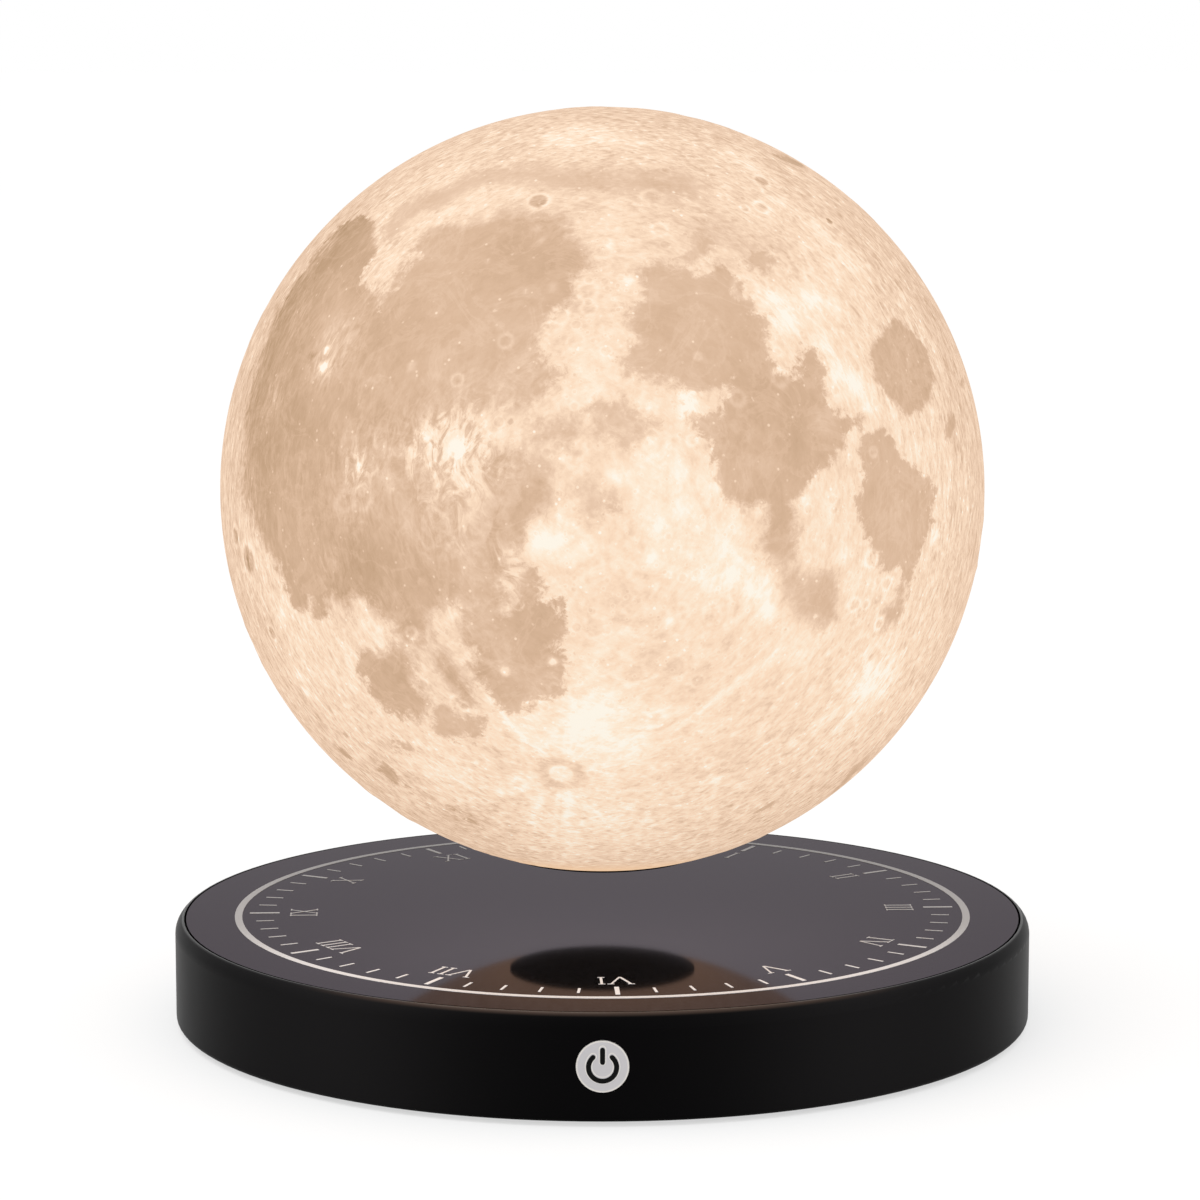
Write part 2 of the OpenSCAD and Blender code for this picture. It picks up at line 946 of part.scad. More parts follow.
module moon_shell() {
  color("#f3dcc0")
    difference() {
      union() {
        difference() {
          intersection() {
            ball(moon_r);
            intersection_for(s = SEAS)
              sea_floor(s[0], s[1], s[2]);
          }
          ball(moon_r - shell_t);
        }
        intersection() {
          ball(moon_r);
          in_moon(0)
            cylinder(r = collar_r, h = collar_h);
        }
      }
      in_moon(-over)
        cylinder(r = barrel_r + cap_gap, h = collar_h + 2 * over);
      in_moon(-over)
        cylinder(r = cap_r + cap_gap, h = lip_top + over);
      for (c = CRATERS)
        crater(c[0], c[1], c[2]);
    }
}

module magnet_cup() {
  color("#151416")
    difference() {
      union() {
        intersection() {
          ball(moon_r);
          in_moon(0)
            cylinder(r = cap_r, h = lip_top);
        }
        in_moon(lip_top - bite)
          cylinder(r = barrel_r, h = cup_top - lip_top + bite);
      }
      in_moon(well_floor)
        cylinder(r = well_r, h = cup_top - well_floor + over);
      in_moon(groove_floor)
        tube(groove_ro, groove_ri, cup_top - groove_floor + over);
    }
}

module float_magnet() {
  color("#b7babf")
    in_moon(magnet_low)
      cylinder(r = float_r, h = float_magnet_h);
}

module magnet_yoke() {
  color("#7b7f85")
    in_moon(magnet_low + float_magnet_h)
      cylinder(r = float_r, h = yoke_t);
}

module receiver_coil() {
  color("#b4622a")
    in_moon(groove_floor)
      tube(groove_ro - slip, groove_ri + slip, receiver_coil_h);
}

module receiver_ferrite() {
  color("#2b2b2e")
    in_moon(groove_floor + receiver_coil_h)
      tube(groove_ro - slip, groove_ri + slip, ferrite_t);
}

module receiver_board() {
  color("#1f5a38")
    in_moon(cup_top)
      cylinder(r = barrel_r, h = board_t);
}

module receiver_parts() {
  chip = [6, 5, 1.8];
  coil_can_r = 3;
  coil_can_h = 3.5;
  coil_can_reach = 8;
  color("#1a1a1a")
    in_moon(receiver_top) {
      block(chip);
      for (side = [-1, 1])
        translate([0, side * coil_can_reach, 0])
          cylinder(r = coil_can_r, h = coil_can_h);
    }
}

module board_pillars() {
  color("#d9d9d6")
    pillar_spots()
      in_moon(receiver_top)
        difference() {
          cylinder(r = pillar_r, h = pillar_h);
          translate([0, 0, pillar_h - lamp_grip - over])
            cylinder(d = lamp_screw_d + 2 * thread_gap, h = lamp_grip + 2 * over);
        }
}

module lamp_board() {
  color("#e8e8e6")
    difference() {
      in_moon(lamp_low)
        cylinder(r = lamp_board_r, h = board_t);
      pillar_spots()
        in_moon(lamp_low - over)
          cylinder(d = lamp_screw_d + 2 * slip, h = board_t + 2 * over);
    }
}

module lamp_leds() {
  color("#f6e27a") {
    in_moon(lamp_top)
      block(led_size);
    for (i = [0 : led_n - 1])
      rotate(i * 360 / led_n)
        translate([led_reach, 0, 0])
          in_moon(lamp_top)
            block([led_size[1], led_size[0], led_size[2]]);
  }
}

module lamp_screws() {
  color("#a5a7ab")
    pillar_spots()
      in_moon(lamp_top)
        screw(lamp_screw_d, lamp_head_d, lamp_head_h, board_t + lamp_grip - over);
}

module lamp_dome() {
  color("#fff4e0")
    in_moon(lamp_top)
      difference() {
        sphere(r = dome_r);
        sphere(r = dome_r - dome_t);
        translate([0, 0, -dome_r - over])
          cylinder(r = dome_r + over, h = dome_r + over);
      }
}

base_shell();
mirror_glass();
glass_tape();
minute_ring();
minute_marks();
hour_marks();
hour_numerals();
bottom_plate();
plate_screws();
rubber_feet();
back_iron();
field_magnet();
coil_cores();
coil_bobbins();
coil_windings();
sensor_board();
sensor_screws();
hall_sensors();
ribbon_cable();
power_coil();
power_coil_shield();
main_board();
board_screws();
controller_chip();
driver_chips();
heat_sinks();
capacitors();
choke();
jack_housing();
jack_pin();
switch_board();
switch_body();
button_lead();
power_button();
power_symbol();
switch_plunger();
float_magnet();
magnet_yoke();
moon_shell();
magnet_cup();
receiver_coil();
receiver_ferrite();
receiver_board();
receiver_parts();
board_pillars();
lamp_board();
lamp_leds();
lamp_screws();
lamp_dome();
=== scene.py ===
import math

import bpy
import numpy as np
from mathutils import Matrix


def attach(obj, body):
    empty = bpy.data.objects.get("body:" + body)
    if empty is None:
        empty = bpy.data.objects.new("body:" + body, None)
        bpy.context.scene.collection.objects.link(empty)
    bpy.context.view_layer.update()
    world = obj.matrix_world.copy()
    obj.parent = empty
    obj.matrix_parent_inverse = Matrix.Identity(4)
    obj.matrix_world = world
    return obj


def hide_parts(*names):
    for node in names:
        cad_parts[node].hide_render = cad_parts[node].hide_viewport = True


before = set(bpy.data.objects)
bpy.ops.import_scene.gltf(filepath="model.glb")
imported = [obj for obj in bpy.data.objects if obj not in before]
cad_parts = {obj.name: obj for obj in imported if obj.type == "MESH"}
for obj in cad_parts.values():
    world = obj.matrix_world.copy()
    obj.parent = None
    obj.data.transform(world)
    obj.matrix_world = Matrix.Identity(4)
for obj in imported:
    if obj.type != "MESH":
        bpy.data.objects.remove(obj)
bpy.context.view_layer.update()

# ---------------------------------------------------------------- camera
# A long lens looks at the lamp from the front and a little above it, so that the dial shows
# as a flat ellipse under the moon.
eye = (-0.00055, -0.96045, 0.24164)
pitch_down = math.radians(8.389)
camera_data = bpy.data.cameras.new("camera")
camera_data.sensor_width = 36
camera_data.lens = 123.08
camera_data.clip_start = 0.05
camera_data.clip_end = 60
camera = bpy.data.objects.new("camera", camera_data)
camera.location = eye
camera.rotation_euler = (math.pi / 2 - pitch_down, 0, 0)
bpy.context.scene.collection.objects.link(camera)
bpy.context.scene.camera = camera
bpy.context.scene.view_settings.view_transform = "Standard"


# ---------------------------------------------------------------- stand, black plastic
# The stand's shell, its bottom plate and the moon's cap are moulded in black plastic with a
# satin skin, which only lightens where it is seen at a low angle.
class Wire:
    """An output in a node tree. Arithmetic on it adds Math nodes."""

    def __init__(self, tree, socket):
        self.tree, self.socket = tree, socket

    def other(self, output):
        """Another output of the same node."""
        return Wire(self.tree, self.socket.node.outputs[output])

    def __add__(self, other):
        return self.tree.maths("ADD", self, other)

    def __radd__(self, other):
        return self.tree.maths("ADD", other, self)

    def __sub__(self, other):
        return self.tree.maths("SUBTRACT", self, other)

    def __rsub__(self, other):
        return self.tree.maths("SUBTRACT", other, self)

    def __mul__(self, other):
        return self.tree.maths("MULTIPLY", self, other)

    def __rmul__(self, other):
        return self.tree.maths("MULTIPLY", other, self)

    def __truediv__(self, other):
        return self.tree.maths("DIVIDE", self, other)

    def __rtruediv__(self, other):
        return self.tree.maths("DIVIDE", other, self)

    def __pow__(self, other):
        return self.tree.maths("POWER", self, other)

    def __rpow__(self, other):
        return self.tree.maths("POWER", other, self)

    def __neg__(self):
        return self.tree.maths("MULTIPLY", self, -1)


class Tree:
    """Builds the nodes of one material or world."""

    def __init__(self, owner):
        owner.use_nodes = True
        self.owner = owner
        self.nodes, self.links = owner.node_tree.nodes, owner.node_tree.links

    def feed(self, socket, value):
        if isinstance(value, Wire):
            self.links.new(value.socket, socket)
        else:
            socket.default_value = value

    def fed(self, socket):
        """What an earlier call fed to the socket."""
        return Wire(self, socket.links[0].from_socket)

    def node(self, kind, settings=None, inputs=None, output=0):
        made = self.nodes.new(kind)
        for name, value in (settings or {}).items():
            setattr(made, name, value)
        for name, value in (inputs or {}).items():
            self.feed(made.inputs[name], value)
        return Wire(self, made.outputs[output])

    def maths(self, operation, *values):
        return self.node("ShaderNodeMath", {"operation": operation}, dict(enumerate(values)))

    def clamped(self, value):
        return self.node("ShaderNodeMath", {"operation": "ADD", "use_clamp": True},
                         {0: value, 1: 0.0})

    def vector(self, operation, *values, output=0):
        return self.node("ShaderNodeVectorMath", {"operation": operation},
                         dict(enumerate(values)), output)

    def scaled(self, vector, factor):
        return self.node("ShaderNodeVectorMath", {"operation": "SCALE"},
                         {0: vector, "Scale": factor})

    def dot(self, first, second):
        return self.vector("DOT_PRODUCT", first, second, output="Value")

    def distance(self, first, second):
        return self.vector("DISTANCE", first, second, output="Value")

    def bell(self, value):
        """1 at zero, falling off to both sides as exp(-value squared)."""
        return self.maths("EXPONENT", -(value * value))

    def ease(self, value, low, high):
        """0 below low, 1 above high, and an S-curve between them."""
        return self.node("ShaderNodeMapRange", {"interpolation_type": "SMOOTHSTEP"},
                         {"Value": value, "From Min": low, "From Max": high})

    def mix(self, factor, first, second):
        return self.node("ShaderNodeMix", {"data_type": "RGBA"},
                         {0: factor, 6: first, 7: second}, 2)

    def object_place(self):
        return self.node("ShaderNodeTexCoord", output="Object")

    def parts(self, vector):
        """The x, y and z of a vector."""
        x = self.node("ShaderNodeSeparateXYZ", None, {0: vector})
        return x, x.other("Y"), x.other("Z")

    def attribute(self, name):
        return self.node("ShaderNodeAttribute", {"attribute_name": name}, output="Fac")

    def noise(self, place, scale, detail=2.0, roughness=0.5, distortion=0.0):
        return self.node("ShaderNodeTexNoise", None,
                         {"Vector": place, "Scale": scale, "Detail": detail,
                          "Roughness": roughness, "Distortion": distortion})

    def cells(self, place, scale):
        """The distance to the nearest of scattered points."""
        return self.node("ShaderNodeTexVoronoi", None, {"Vector": place, "Scale": scale})

    def cell_random(self, cells):
        """A random number for each of the points. Output 1 is a second one."""
        return self.node("ShaderNodeSeparateColor", None, {0: cells.other("Color")})

    def bump(self, height, strength, distance):
        return self.node("ShaderNodeBump", None,
                         {"Height": height, "Strength": strength, "Distance": distance})


class Paint(Tree):
    """A procedural material whose look is one Principled shader."""

    def __init__(self, name):
        super().__init__(bpy.data.materials.new(name))
        self.shader = self.nodes["Principled BSDF"]

    def finish(self, looks):
        for name, value in looks.items():
            self.feed(self.shader.inputs[name], value)
        return self.owner


def dress(material, *nodes):
    """Gives CAD nodes their material through their slots."""
    for name in nodes:
        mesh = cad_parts[name].data
        mesh.materials.clear()
        mesh.materials.append(material)


def satin(name, shade, tint, roughness, specular, grain=2600.0):
    """Moulded plastic: an even colour with a fine texture in its skin."""
    paint = Paint(name)
    place = paint.object_place()
    skin = paint.noise(place, grain, 3.0, 0.6)
    cloud = paint.noise(place, 40.0, 3.0, 0.55)
    paint.finish({
        "Base Color": paint.mix(cloud, (*shade, 1), (*tint, 1)),
        "Roughness": roughness + 0.08 * (cloud - 0.5),
        "Specular IOR Level": specular,
        "Normal": paint.bump(skin, 0.12, 0.00004)})
    return paint.owner


black_looks = (0.0021, 0.0020, 0.0022), (0.0030, 0.0029, 0.0031), 0.38, 0.02
dress(satin("black_plastic", *black_looks), "magnet_cup", "bottom_plate")

# The rim's crest is polished and turns satin over its shoulder. At the front a warm painted
# reflection of the moon's glow lies on the shoulder, and the wall has a lighter painted sheen
# to both sides of its middle
crest_top = 0.025
crest_fall = 0.0003
shoulder_fall = 0.0009
stand_r = 0.1017
sheen_at = 0.058
sheen_spread = 0.026
shell_plastic = satin("shell_plastic", *black_looks)
paint = Tree(shell_plastic)
sideways, back, height = paint.parts(paint.object_place())
front = paint.ease(back / -stand_r, 0.7, 0.95)
crest = paint.ease(height, crest_top - crest_fall, crest_top)
shoulder = paint.ease(height, crest_top - shoulder_fall, crest_top)
off = (paint.maths("ABSOLUTE", sideways) - sheen_at) / sheen_spread
shader = paint.nodes["Principled BSDF"]
colour = shader.inputs["Base Color"]
# Painted sheen: a lighter grey painted on the wall to both sides of its middle
wall = paint.mix(paint.bell(off), paint.fed(colour), (0.0118, 0.0112, 0.0116, 1))
# Painted reflection: a warm brown painted over the shoulder at the front, for the moon's glow
paint.feed(colour, paint.mix(front * shoulder, wall, (0.070, 0.047, 0.037, 1)))
paint.feed(shader.inputs["Coat Weight"], 0.30 * crest)
paint.feed(shader.inputs["Coat Roughness"], 0.08)
paint.feed(shader.inputs["Specular Tint"], (1.0, 0.92, 0.94, 1))
dress(shell_plastic, "base_shell")

# ---------------------------------------------------------------- glass dial
# A sheet of smoked mirror glass lies flush in the rim. It reflects about a tenth of what is
# in front of it, slightly violet, and the dial is printed on it in silver.
paint = Paint("dark_mirror")
place = paint.object_place()
haze = paint.noise(place, 18.0, 3.0, 0.5)
# Painted reflection: the glass is painted lighter round a spot at its front, for a brighter
# reflection there
reflection_middle = (0.0, -0.055, 0.025)
reflection_r = 0.065
painted_reflection = paint.bell(paint.distance(place, reflection_middle) / reflection_r) * (0.8 + 0.4 * haze)
paint.finish({
    "Base Color": paint.mix(painted_reflection, (0.060, 0.055, 0.059, 1), (0.128, 0.116, 0.123, 1)),
    "Metallic": 0.93,
    "Specular Tint": (0.41, 0.39, 0.41, 1),
    "Roughness": 0.05 + 0.03 * haze})
dress(paint.owner, "mirror_glass")

# The silver print carries a painted reflection: it is painted lightest at the front and darker
# to the sides and at the back, and the fine strokes are brighter than the ring
ring_r = 0.0876
for name, back_grey, side_grey, front_grey, nodes in (
        ("silver_ink", 0.167, 0.36, 0.84, ["minute_ring"]),
        ("silver_ink_fine", 0.20, 0.44, 0.98, ["minute_marks", "hour_marks", "hour_numerals"])):
    paint = Paint(name)
    place = paint.object_place()
    speck = paint.noise(place, 5200.0, 2.0, 0.6)
    forward = paint.parts(place)[1] / -ring_r
    back, side, front = [(1.02 * grey, 0.985 * grey, 0.985 * grey, 1)
                         for grey in (back_grey, side_grey, front_grey)]
    # Painted shade towards the back and painted reflection at the front
    shaded_back = paint.mix(paint.ease(forward, -1.0, 0.1), back, side)
    silver = paint.mix(paint.ease(forward, 0.1, 0.8), shaded_back, front)
    paint.finish({
        "Base Color": paint.mix(0.25 * speck, silver, (0.30, 0.29, 0.29, 1)),
        "Metallic": 0.15,
        "Roughness": 0.38 + 0.12 * speck})
    dress(paint.owner, *nodes)

# ---------------------------------------------------------------- power button
# A light grey push button with the power sign inlaid in black. It clicks a small switch that
# is soldered to an upright board behind it.
button_r = 0.00575
button_height = 0.0135
arc_r = 0.00303
half_stroke = 0.00055
gap_angle = math.radians(42)
bar_foot, bar_top = 0.0011, 0.003855
edge_w, edge_fade = 0.0005, 0.0003
lip_w, lip_fade = 0.00032, 0.00012

button_grey = satin("button_grey", (0.69, 0.67, 0.685), (0.75, 0.73, 0.745), 0.42, 0.2)
dress(button_grey, "power_button")
dress(satin("symbol_black", (0.004, 0.004, 0.004), (0.006, 0.006, 0.006), 0.4, 0.06),
      "power_symbol")

# Painted highlights: its edge and the moulded edges round the sign are painted lighter, as if
# they caught the light. Below, the distance to the arc with its round ends and to the bar,
# measured on the button's face
paint = Tree(button_grey)
sideways, _, height = paint.parts(paint.object_place())
across = paint.maths("ABSOLUTE", sideways)
up = height - button_height


def span(a, b):
    return (a * a + b * b) ** 0.5


end_x, end_y = math.sin(gap_angle), math.cos(gap_angle)
turned = paint.maths("GREATER_THAN", across * end_y - up * end_x, 0.0)
to_ring = paint.maths("ABSOLUTE", span(across, up) - arc_r)
to_end = span(across - arc_r * end_x, up - arc_r * end_y)
on_bar = paint.maths("MINIMUM", paint.maths("MAXIMUM", up, bar_foot), bar_top)
to_sign = paint.maths("MINIMUM", turned * to_ring + (1 - turned) * to_end,
                      span(across, up - on_bar)) - half_stroke
edge_highlight = paint.ease(span(across, up), button_r - edge_w, button_r - edge_w + edge_fade)
lip_highlight = paint.ease(to_sign, 0.0, 0.0001) * paint.ease(-to_sign, -lip_w, -lip_w + lip_fade)
colour = paint.nodes["Principled BSDF"].inputs["Base Color"]
# The painted highlight colour on the edge and round the sign
paint.feed(colour, paint.mix(paint.clamped(edge_highlight + lip_highlight), paint.fed(colour),
                             (0.93, 0.89, 0.84, 1)))

# ---------------------------------------------------------------- moon
# The moon is a thin printed shell, lit from inside. Its surface shows the near side: smooth
# darker seas, bright craters with rays, and rough highlands. A round opening under it takes
# the black cap.
moon_r = 0.09
moon_centre = (0.0, 0.0, 0.1262)
moon_foot = moon_centre[2] - moon_r
mm = 0.001

to_eye = np.array(eye) - np.array(moon_centre)
eye_reach = np.linalg.norm(to_eye)
to_eye /= eye_reach
face_right = np.cross((0.0, 0.0, 1.0), to_eye)
face_right /= np.linalg.norm(face_right)
face_up = np.cross(to_eye, face_right)


def face_point(u, v):
    """A point of the moon's disc as the camera sees it, u to the right and v up in fractions
    of the disc's radius, as (angle from the disc's centre along the surface, bearing)."""
    share = math.hypot(u, v)
    limb = math.asin(moon_r / eye_reach)
    ray = math.atan(min(share, 0.999) * math.tan(limb))
    return math.asin(min(1.0, eye_reach / moon_r * math.sin(ray))) - ray, math.atan2(v, u)


def face_direction(u, v):
    """The same point as a direction from the moon's centre."""
    angle, bearing = face_point(u, v)
    side = math.cos(bearing) * face_right + math.sin(bearing) * face_up
    return math.cos(angle) * to_eye + math.sin(angle) * side


def flat_map(direction):
    """Directions laid out on a plane: the distance from the middle is the angle from the
    disc's centre, in mm along the moon's surface."""
    angle = np.arccos(np.clip(direction @ to_eye, -1, 1))
    bearing = np.arctan2(direction @ face_up, direction @ face_right)
    reach = angle * moon_r / mm
    return np.stack([reach * np.cos(bearing), reach * np.sin(bearing)], axis=-1)


def flat_point(u, v):
    angle, bearing = face_point(u, v)
    reach = angle * moon_r / mm
    return reach * math.cos(bearing), reach * math.sin(bearing)


def oval(u, v, half_w, half_h, tilt):
    """An outline of 16 points round (u, v); tilt is in degrees, anticlockwise."""
    turn = math.radians(tilt)
    points = []
    for k in range(16):
        a, b = half_w * math.cos(k * math.pi / 8), half_h * math.sin(k * math.pi / 8)
        points.append((u + a * math.cos(turn) - b * math.sin(turn),
                       v + a * math.sin(turn) + b * math.cos(turn)))
    return points


# Each sea: how dark it is, and its shore in fractions of the disc's radius
seas = [
    # The great round sea in the north-west, with its bay
    (0.98, [(-.485, .605), (-.487, .64), (-.475, .665), (-.45, .685), (-.42, .697), (-.38, .70),
            (-.365, .683), (-.345, .695), (-.32, .71), (-.29, .72), (-.265, .74), (-.235, .745),
            (-.21, .735), (-.19, .72), (-.12, .715), (-.095, .70), (-.065, .66), (-.04, .645),
            (-.02, .60), (-.09, .55), (-.095, .48), (-.13, .475), (-.14, .45), (-.15, .42),
            (-.175, .41), (-.19, .39), (-.185, .37), (-.145, .345), (-.10, .335), (-.095, .305),
            (-.12, .28), (-.145, .25), (-.19, .22), (-.25, .21), (-.3, .20), (-.4, .17),
            (-.45, .16), (-.56, .20), (-.60, .30), (-.60, .45), (-.575, .51), (-.55, .53),
            (-.535, .56), (-.515, .59)]),
    # The western ocean
    (1.38, [(-.585, .69), (-.60, .67), (-.59, .64), (-.605, .61), (-.62, .58), (-.63, .55),
            (-.625, .52), (-.60, .515), (-.56, .46), (-.50, .30), (-.42, .23), (-.33, .19),
            (-.30, .14), (-.25, .12), (-.20, .10), (-.14, .07), (-.11, .02), (-.12, -.02),
            (-.14, -.06), (-.18, -.09), (-.20, -.13), (-.235, -.17), (-.25, -.20),
            (-.26, -.24), (-.27, -.29), (-.31, -.33), (-.36, -.31), (-.40, -.31), (-.43, -.33),
            (-.46, -.37), (-.48, -.39), (-.505, -.40), (-.52, -.39), (-.54, -.375),
            (-.545, -.355), (-.56, -.34), (-.58, -.345), (-.595, -.33), (-.61, -.31),
            (-.62, -.285), (-.64, -.275), (-.655, -.285), (-.66, -.30), (-.68, -.305),
            (-.70, -.285), (-.72, -.29), (-.715, -.32), (-.73, -.345), (-.755, -.33),
            (-.77, -.29), (-.79, -.32), (-.80, -.31), (-.82, -.29), (-.835, -.27),
            (-.84, -.24), (-.855, -.21), (-.855, -.19), (-.87, -.17), (-.88, -.15),
            (-.90, -.12), (-.91, -.09), (-.93, -.05), (-.945, .0), (-.945, .08), (-.94, .18),
            (-.92, .28), (-.89, .38), (-.85, .47), (-.80, .55), (-.74, .63), (-.68, .695),
            (-.62, .72)]),
    # The narrow sea along the north
    (0.36, [(-.59, .655), (-.57, .70), (-.53, .74), (-.455, .78), (-.34, .825), (-.24, .845),
            (-.12, .845), (.01, .83), (.11, .83), (.23, .82), (.295, .80), (.285, .765),
            (.17, .765), (.11, .775), (-.02, .78), (-.07, .78), (-.12, .79), (-.24, .795),
            (-.32, .785), (-.39, .755), (-.465, .72), (-.55, .66)]),
    # Lakes south-east of it
    (0.5, [(.20, .60), (.24, .595), (.28, .62), (.29, .65), (.26, .675), (.22, .66)]),
    (0.5, [(.40, .64), (.45, .60), (.43, .56), (.39, .58), (.38, .61)]),
    # The north-eastern sea
    (0.88, [(.10, .50), (.10, .56), (.12, .585), (.15, .595), (.20, .59), (.22, .565),
            (.26, .555), (.28, .57), (.29, .60), (.33, .585), (.35, .56), (.355, .52),
            (.39, .50), (.40, .47), (.43, .455), (.435, .43), (.42, .41), (.43, .35),
            (.435, .31), (.40, .28), (.32, .265), (.25, .25), (.21, .255), (.18, .275),
            (.14, .295), (.10, .30), (.06, .31), (.06, .34), (.07, .38), (.08, .41),
            (.07, .44), (.075, .48)]),
    # The central eastern sea and its southern bay
    (1.12, [(.30, .30), (.32, .265), (.31, .24), (.30, .21), (.27, .20), (.235, .185),
            (.25, .16), (.27, .13), (.29, .09), (.285, .04), (.305, .0), (.315, -.03),
            (.33, -.04), (.36, -.045), (.385, -.055), (.415, -.05), (.42, -.08), (.42, -.10),
            (.40, -.12), (.40, -.14), (.415, -.17), (.445, -.18), (.48, -.19), (.50, -.175),
            (.50, -.10), (.505, -.03), (.53, .02), (.58, .05), (.63, .11), (.65, .15),
            (.69, .195), (.63, .21), (.605, .23), (.595, .26), (.58, .29), (.60, .315),
            (.57, .33), (.56, .37), (.53, .37), (.52, .33), (.50, .29), (.44, .305),
            (.42, .33), (.36, .33)]),
    # The oval eastern sea
    (1.05, [(.70, .36), (.705, .385), (.73, .405), (.74, .43), (.77, .445), (.80, .43),
            (.83, .40), (.85, .37), (.865, .33), (.875, .30), (.865, .26), (.86, .23),
            (.84, .205), (.80, .195), (.77, .215), (.74, .25), (.715, .29), (.71, .32)]),
    # The south-eastern sea
    (0.98, [(.70, .155), (.74, .16), (.76, .13), (.78, .10), (.82, .07), (.86, .03),
            (.875, .0), (.87, -.05), (.865, -.09), (.85, -.12), (.84, -.15), (.825, -.18),
            (.82, -.21), (.815, -.24), (.80, -.27), (.79, -.30), (.785, -.33), (.76, -.355),
            (.745, -.36), (.73, -.335), (.745, -.31), (.77, -.30), (.775, -.28), (.78, -.25),
            (.785, -.22), (.775, -.205), (.755, -.22), (.745, -.21), (.73, -.195),
            (.72, -.20), (.72, -.17), (.71, -.16), (.70, -.14), (.685, -.12), (.685, -.09),
            (.675, -.07), (.66, -.04), (.665, -.02), (.68, .0), (.68, .06), (.67, .11)]),
    # The small southern sea beside it
    (1.0, [(.475, -.215), (.505, -.205), (.53, -.22), (.56, -.22), (.57, -.21), (.60, -.215),
           (.625, -.235), (.625, -.26), (.615, -.29), (.62, -.32), (.61, -.345), (.59, -.35),
           (.575, -.365), (.555, -.37), (.54, -.355), (.515, -.345), (.495, -.33),
           (.48, -.30), (.48, -.27), (.465, -.24)]),
    # The small seas in the middle
    (0.85, [(-.03, .22), (.0, .24), (.05, .23), (.09, .205), (.13, .18), (.13, .14),
           (.10, .115), (.06, .11), (.02, .13), (-.03, .15)]),
    (0.75, [(-.19, .20), (-.10, .19), (-.065, .17), (-.055, .14), (-.08, .12), (-.13, .13),
           (-.20, .15)]),
    (0.75, [(-.10, -.01), (-.07, -.03), (-.075, -.06), (-.05, -.085), (-.03, -.09),
           (-.015, -.07), (.0, -.05), (.03, -.05), (.045, -.03), (.02, .0), (-.02, .03),
           (-.07, .02)]),
    # The southern sea
    (1.25, [(-.255, -.20), (-.25, -.24), (-.235, -.28), (-.24, -.30), (-.255, -.32),
            (-.30, -.27), (-.37, -.27), (-.375, -.36), (-.36, -.40), (-.33, -.42),
            (-.32, -.45), (-.35, -.47), (-.33, -.50), (-.30, -.53), (-.28, -.56),
            (-.26, -.575), (-.24, -.58), (-.21, -.57), (-.18, -.55), (-.16, -.545),
            (-.14, -.55), (-.10, -.54), (-.10, -.52), (-.09, -.49), (-.10, -.47),
            (-.10, -.44), (-.115, -.415), (-.135, -.40), (-.12, -.375), (-.105, -.355),
            (-.10, -.33), (-.10, -.28), (-.125, -.295), (-.15, -.28), (-.15, -.25),
            (-.155, -.225), (-.175, -.205), (-.185, -.19), (-.20, -.20)]),
    (0.75, [(-.43, -.46), (-.42, -.50), (-.38, -.53), (-.36, -.56), (-.345, -.57),
            (-.33, -.56), (-.37, -.50), (-.41, -.43)]),
    # The round south-western sea
    (1.18, [(-.60, -.42), (-.635, -.415), (-.64, -.44), (-.64, -.46), (-.645, -.49),
            (-.63, -.51), (-.60, -.54), (-.575, -.57), (-.555, -.585), (-.53, -.595),
            (-.50, -.59), (-.485, -.60), (-.47, -.575), (-.455, -.56), (-.48, -.53),
            (-.49, -.51), (-.50, -.49), (-.50, -.46), (-.505, -.43), (-.52, -.415),
            (-.54, -.40), (-.575, -.405)]),
    (0.8, [(-.405, -.56), (-.43, -.58), (-.44, -.60), (-.42, -.63), (-.40, -.655),
           (-.36, -.655), (-.34, -.67), (-.35, -.64), (-.31, -.64), (-.31, -.60),
           (-.37, -.59)]),
    # Small dark floors and patches
    (0.7, oval(.49, .86, .045, .008, -20)),
    (0.7, oval(-.52, -.668, .035, .014, -30)),
    (0.8, oval(-.56, -.745, .035, .014, -38)),
    (0.9, oval(-.50, -.785, .014, .006, -35)),
    (0.8, oval(-.67, -.64, .012, .005, -30)),
    (0.8, oval(-.675, -.69, .015, .005, -40)),
    (0.8, oval(-.36, -.855, .045, .010, -30)),
    (0.7, oval(-.185, -.57, .018, .018, 0)),
    (0.7, oval(.91, .16, .012, .03, -12)),
    (0.7, oval(.95, .30, .006, .03, -18)),
    (0.7, oval(.43, -.83, .03, .008, 30)),
    (0.5, oval(.66, -.735, .05, .006, 47)),
    (0.5, oval(.62, -.78, .03, .005, 42)),
]

# Where a shore runs smooth: place and radius in fractions of the disc's radius, and how far
calm_shores = [(.785, .32, .17, .60), (.545, -.285, .12, .35), (-.33, .70, .12, .35),
               (-.90, .20, .10, .4)]

# Where a shore fades out slowly: place and radius in fractions of the disc's radius, and how
# far
soft_shores = [(-.10, .80, .30, .8), (.22, .79, .16, .8), (-.48, .72, .10, .5),
               (-.70, -.26, .10, .5), (-.50, -.36, .12, .6), (-.22, .08, .13, .8),
               (-.08, .0, .12, .7), (-.33, -.28, .10, .7), (.54, -.28, .12, .7),
               (.76, -.34, .07, .5), (.05, .19, .12, .4), (.43, -.12, .12, .4),
               (-.44, -.50, .10, .5), (.12, .42, .08, .3), (-.94, .12, .16, .7),
               (-.88, -.14, .08, .5), (-.86, .42, .10, .6)]

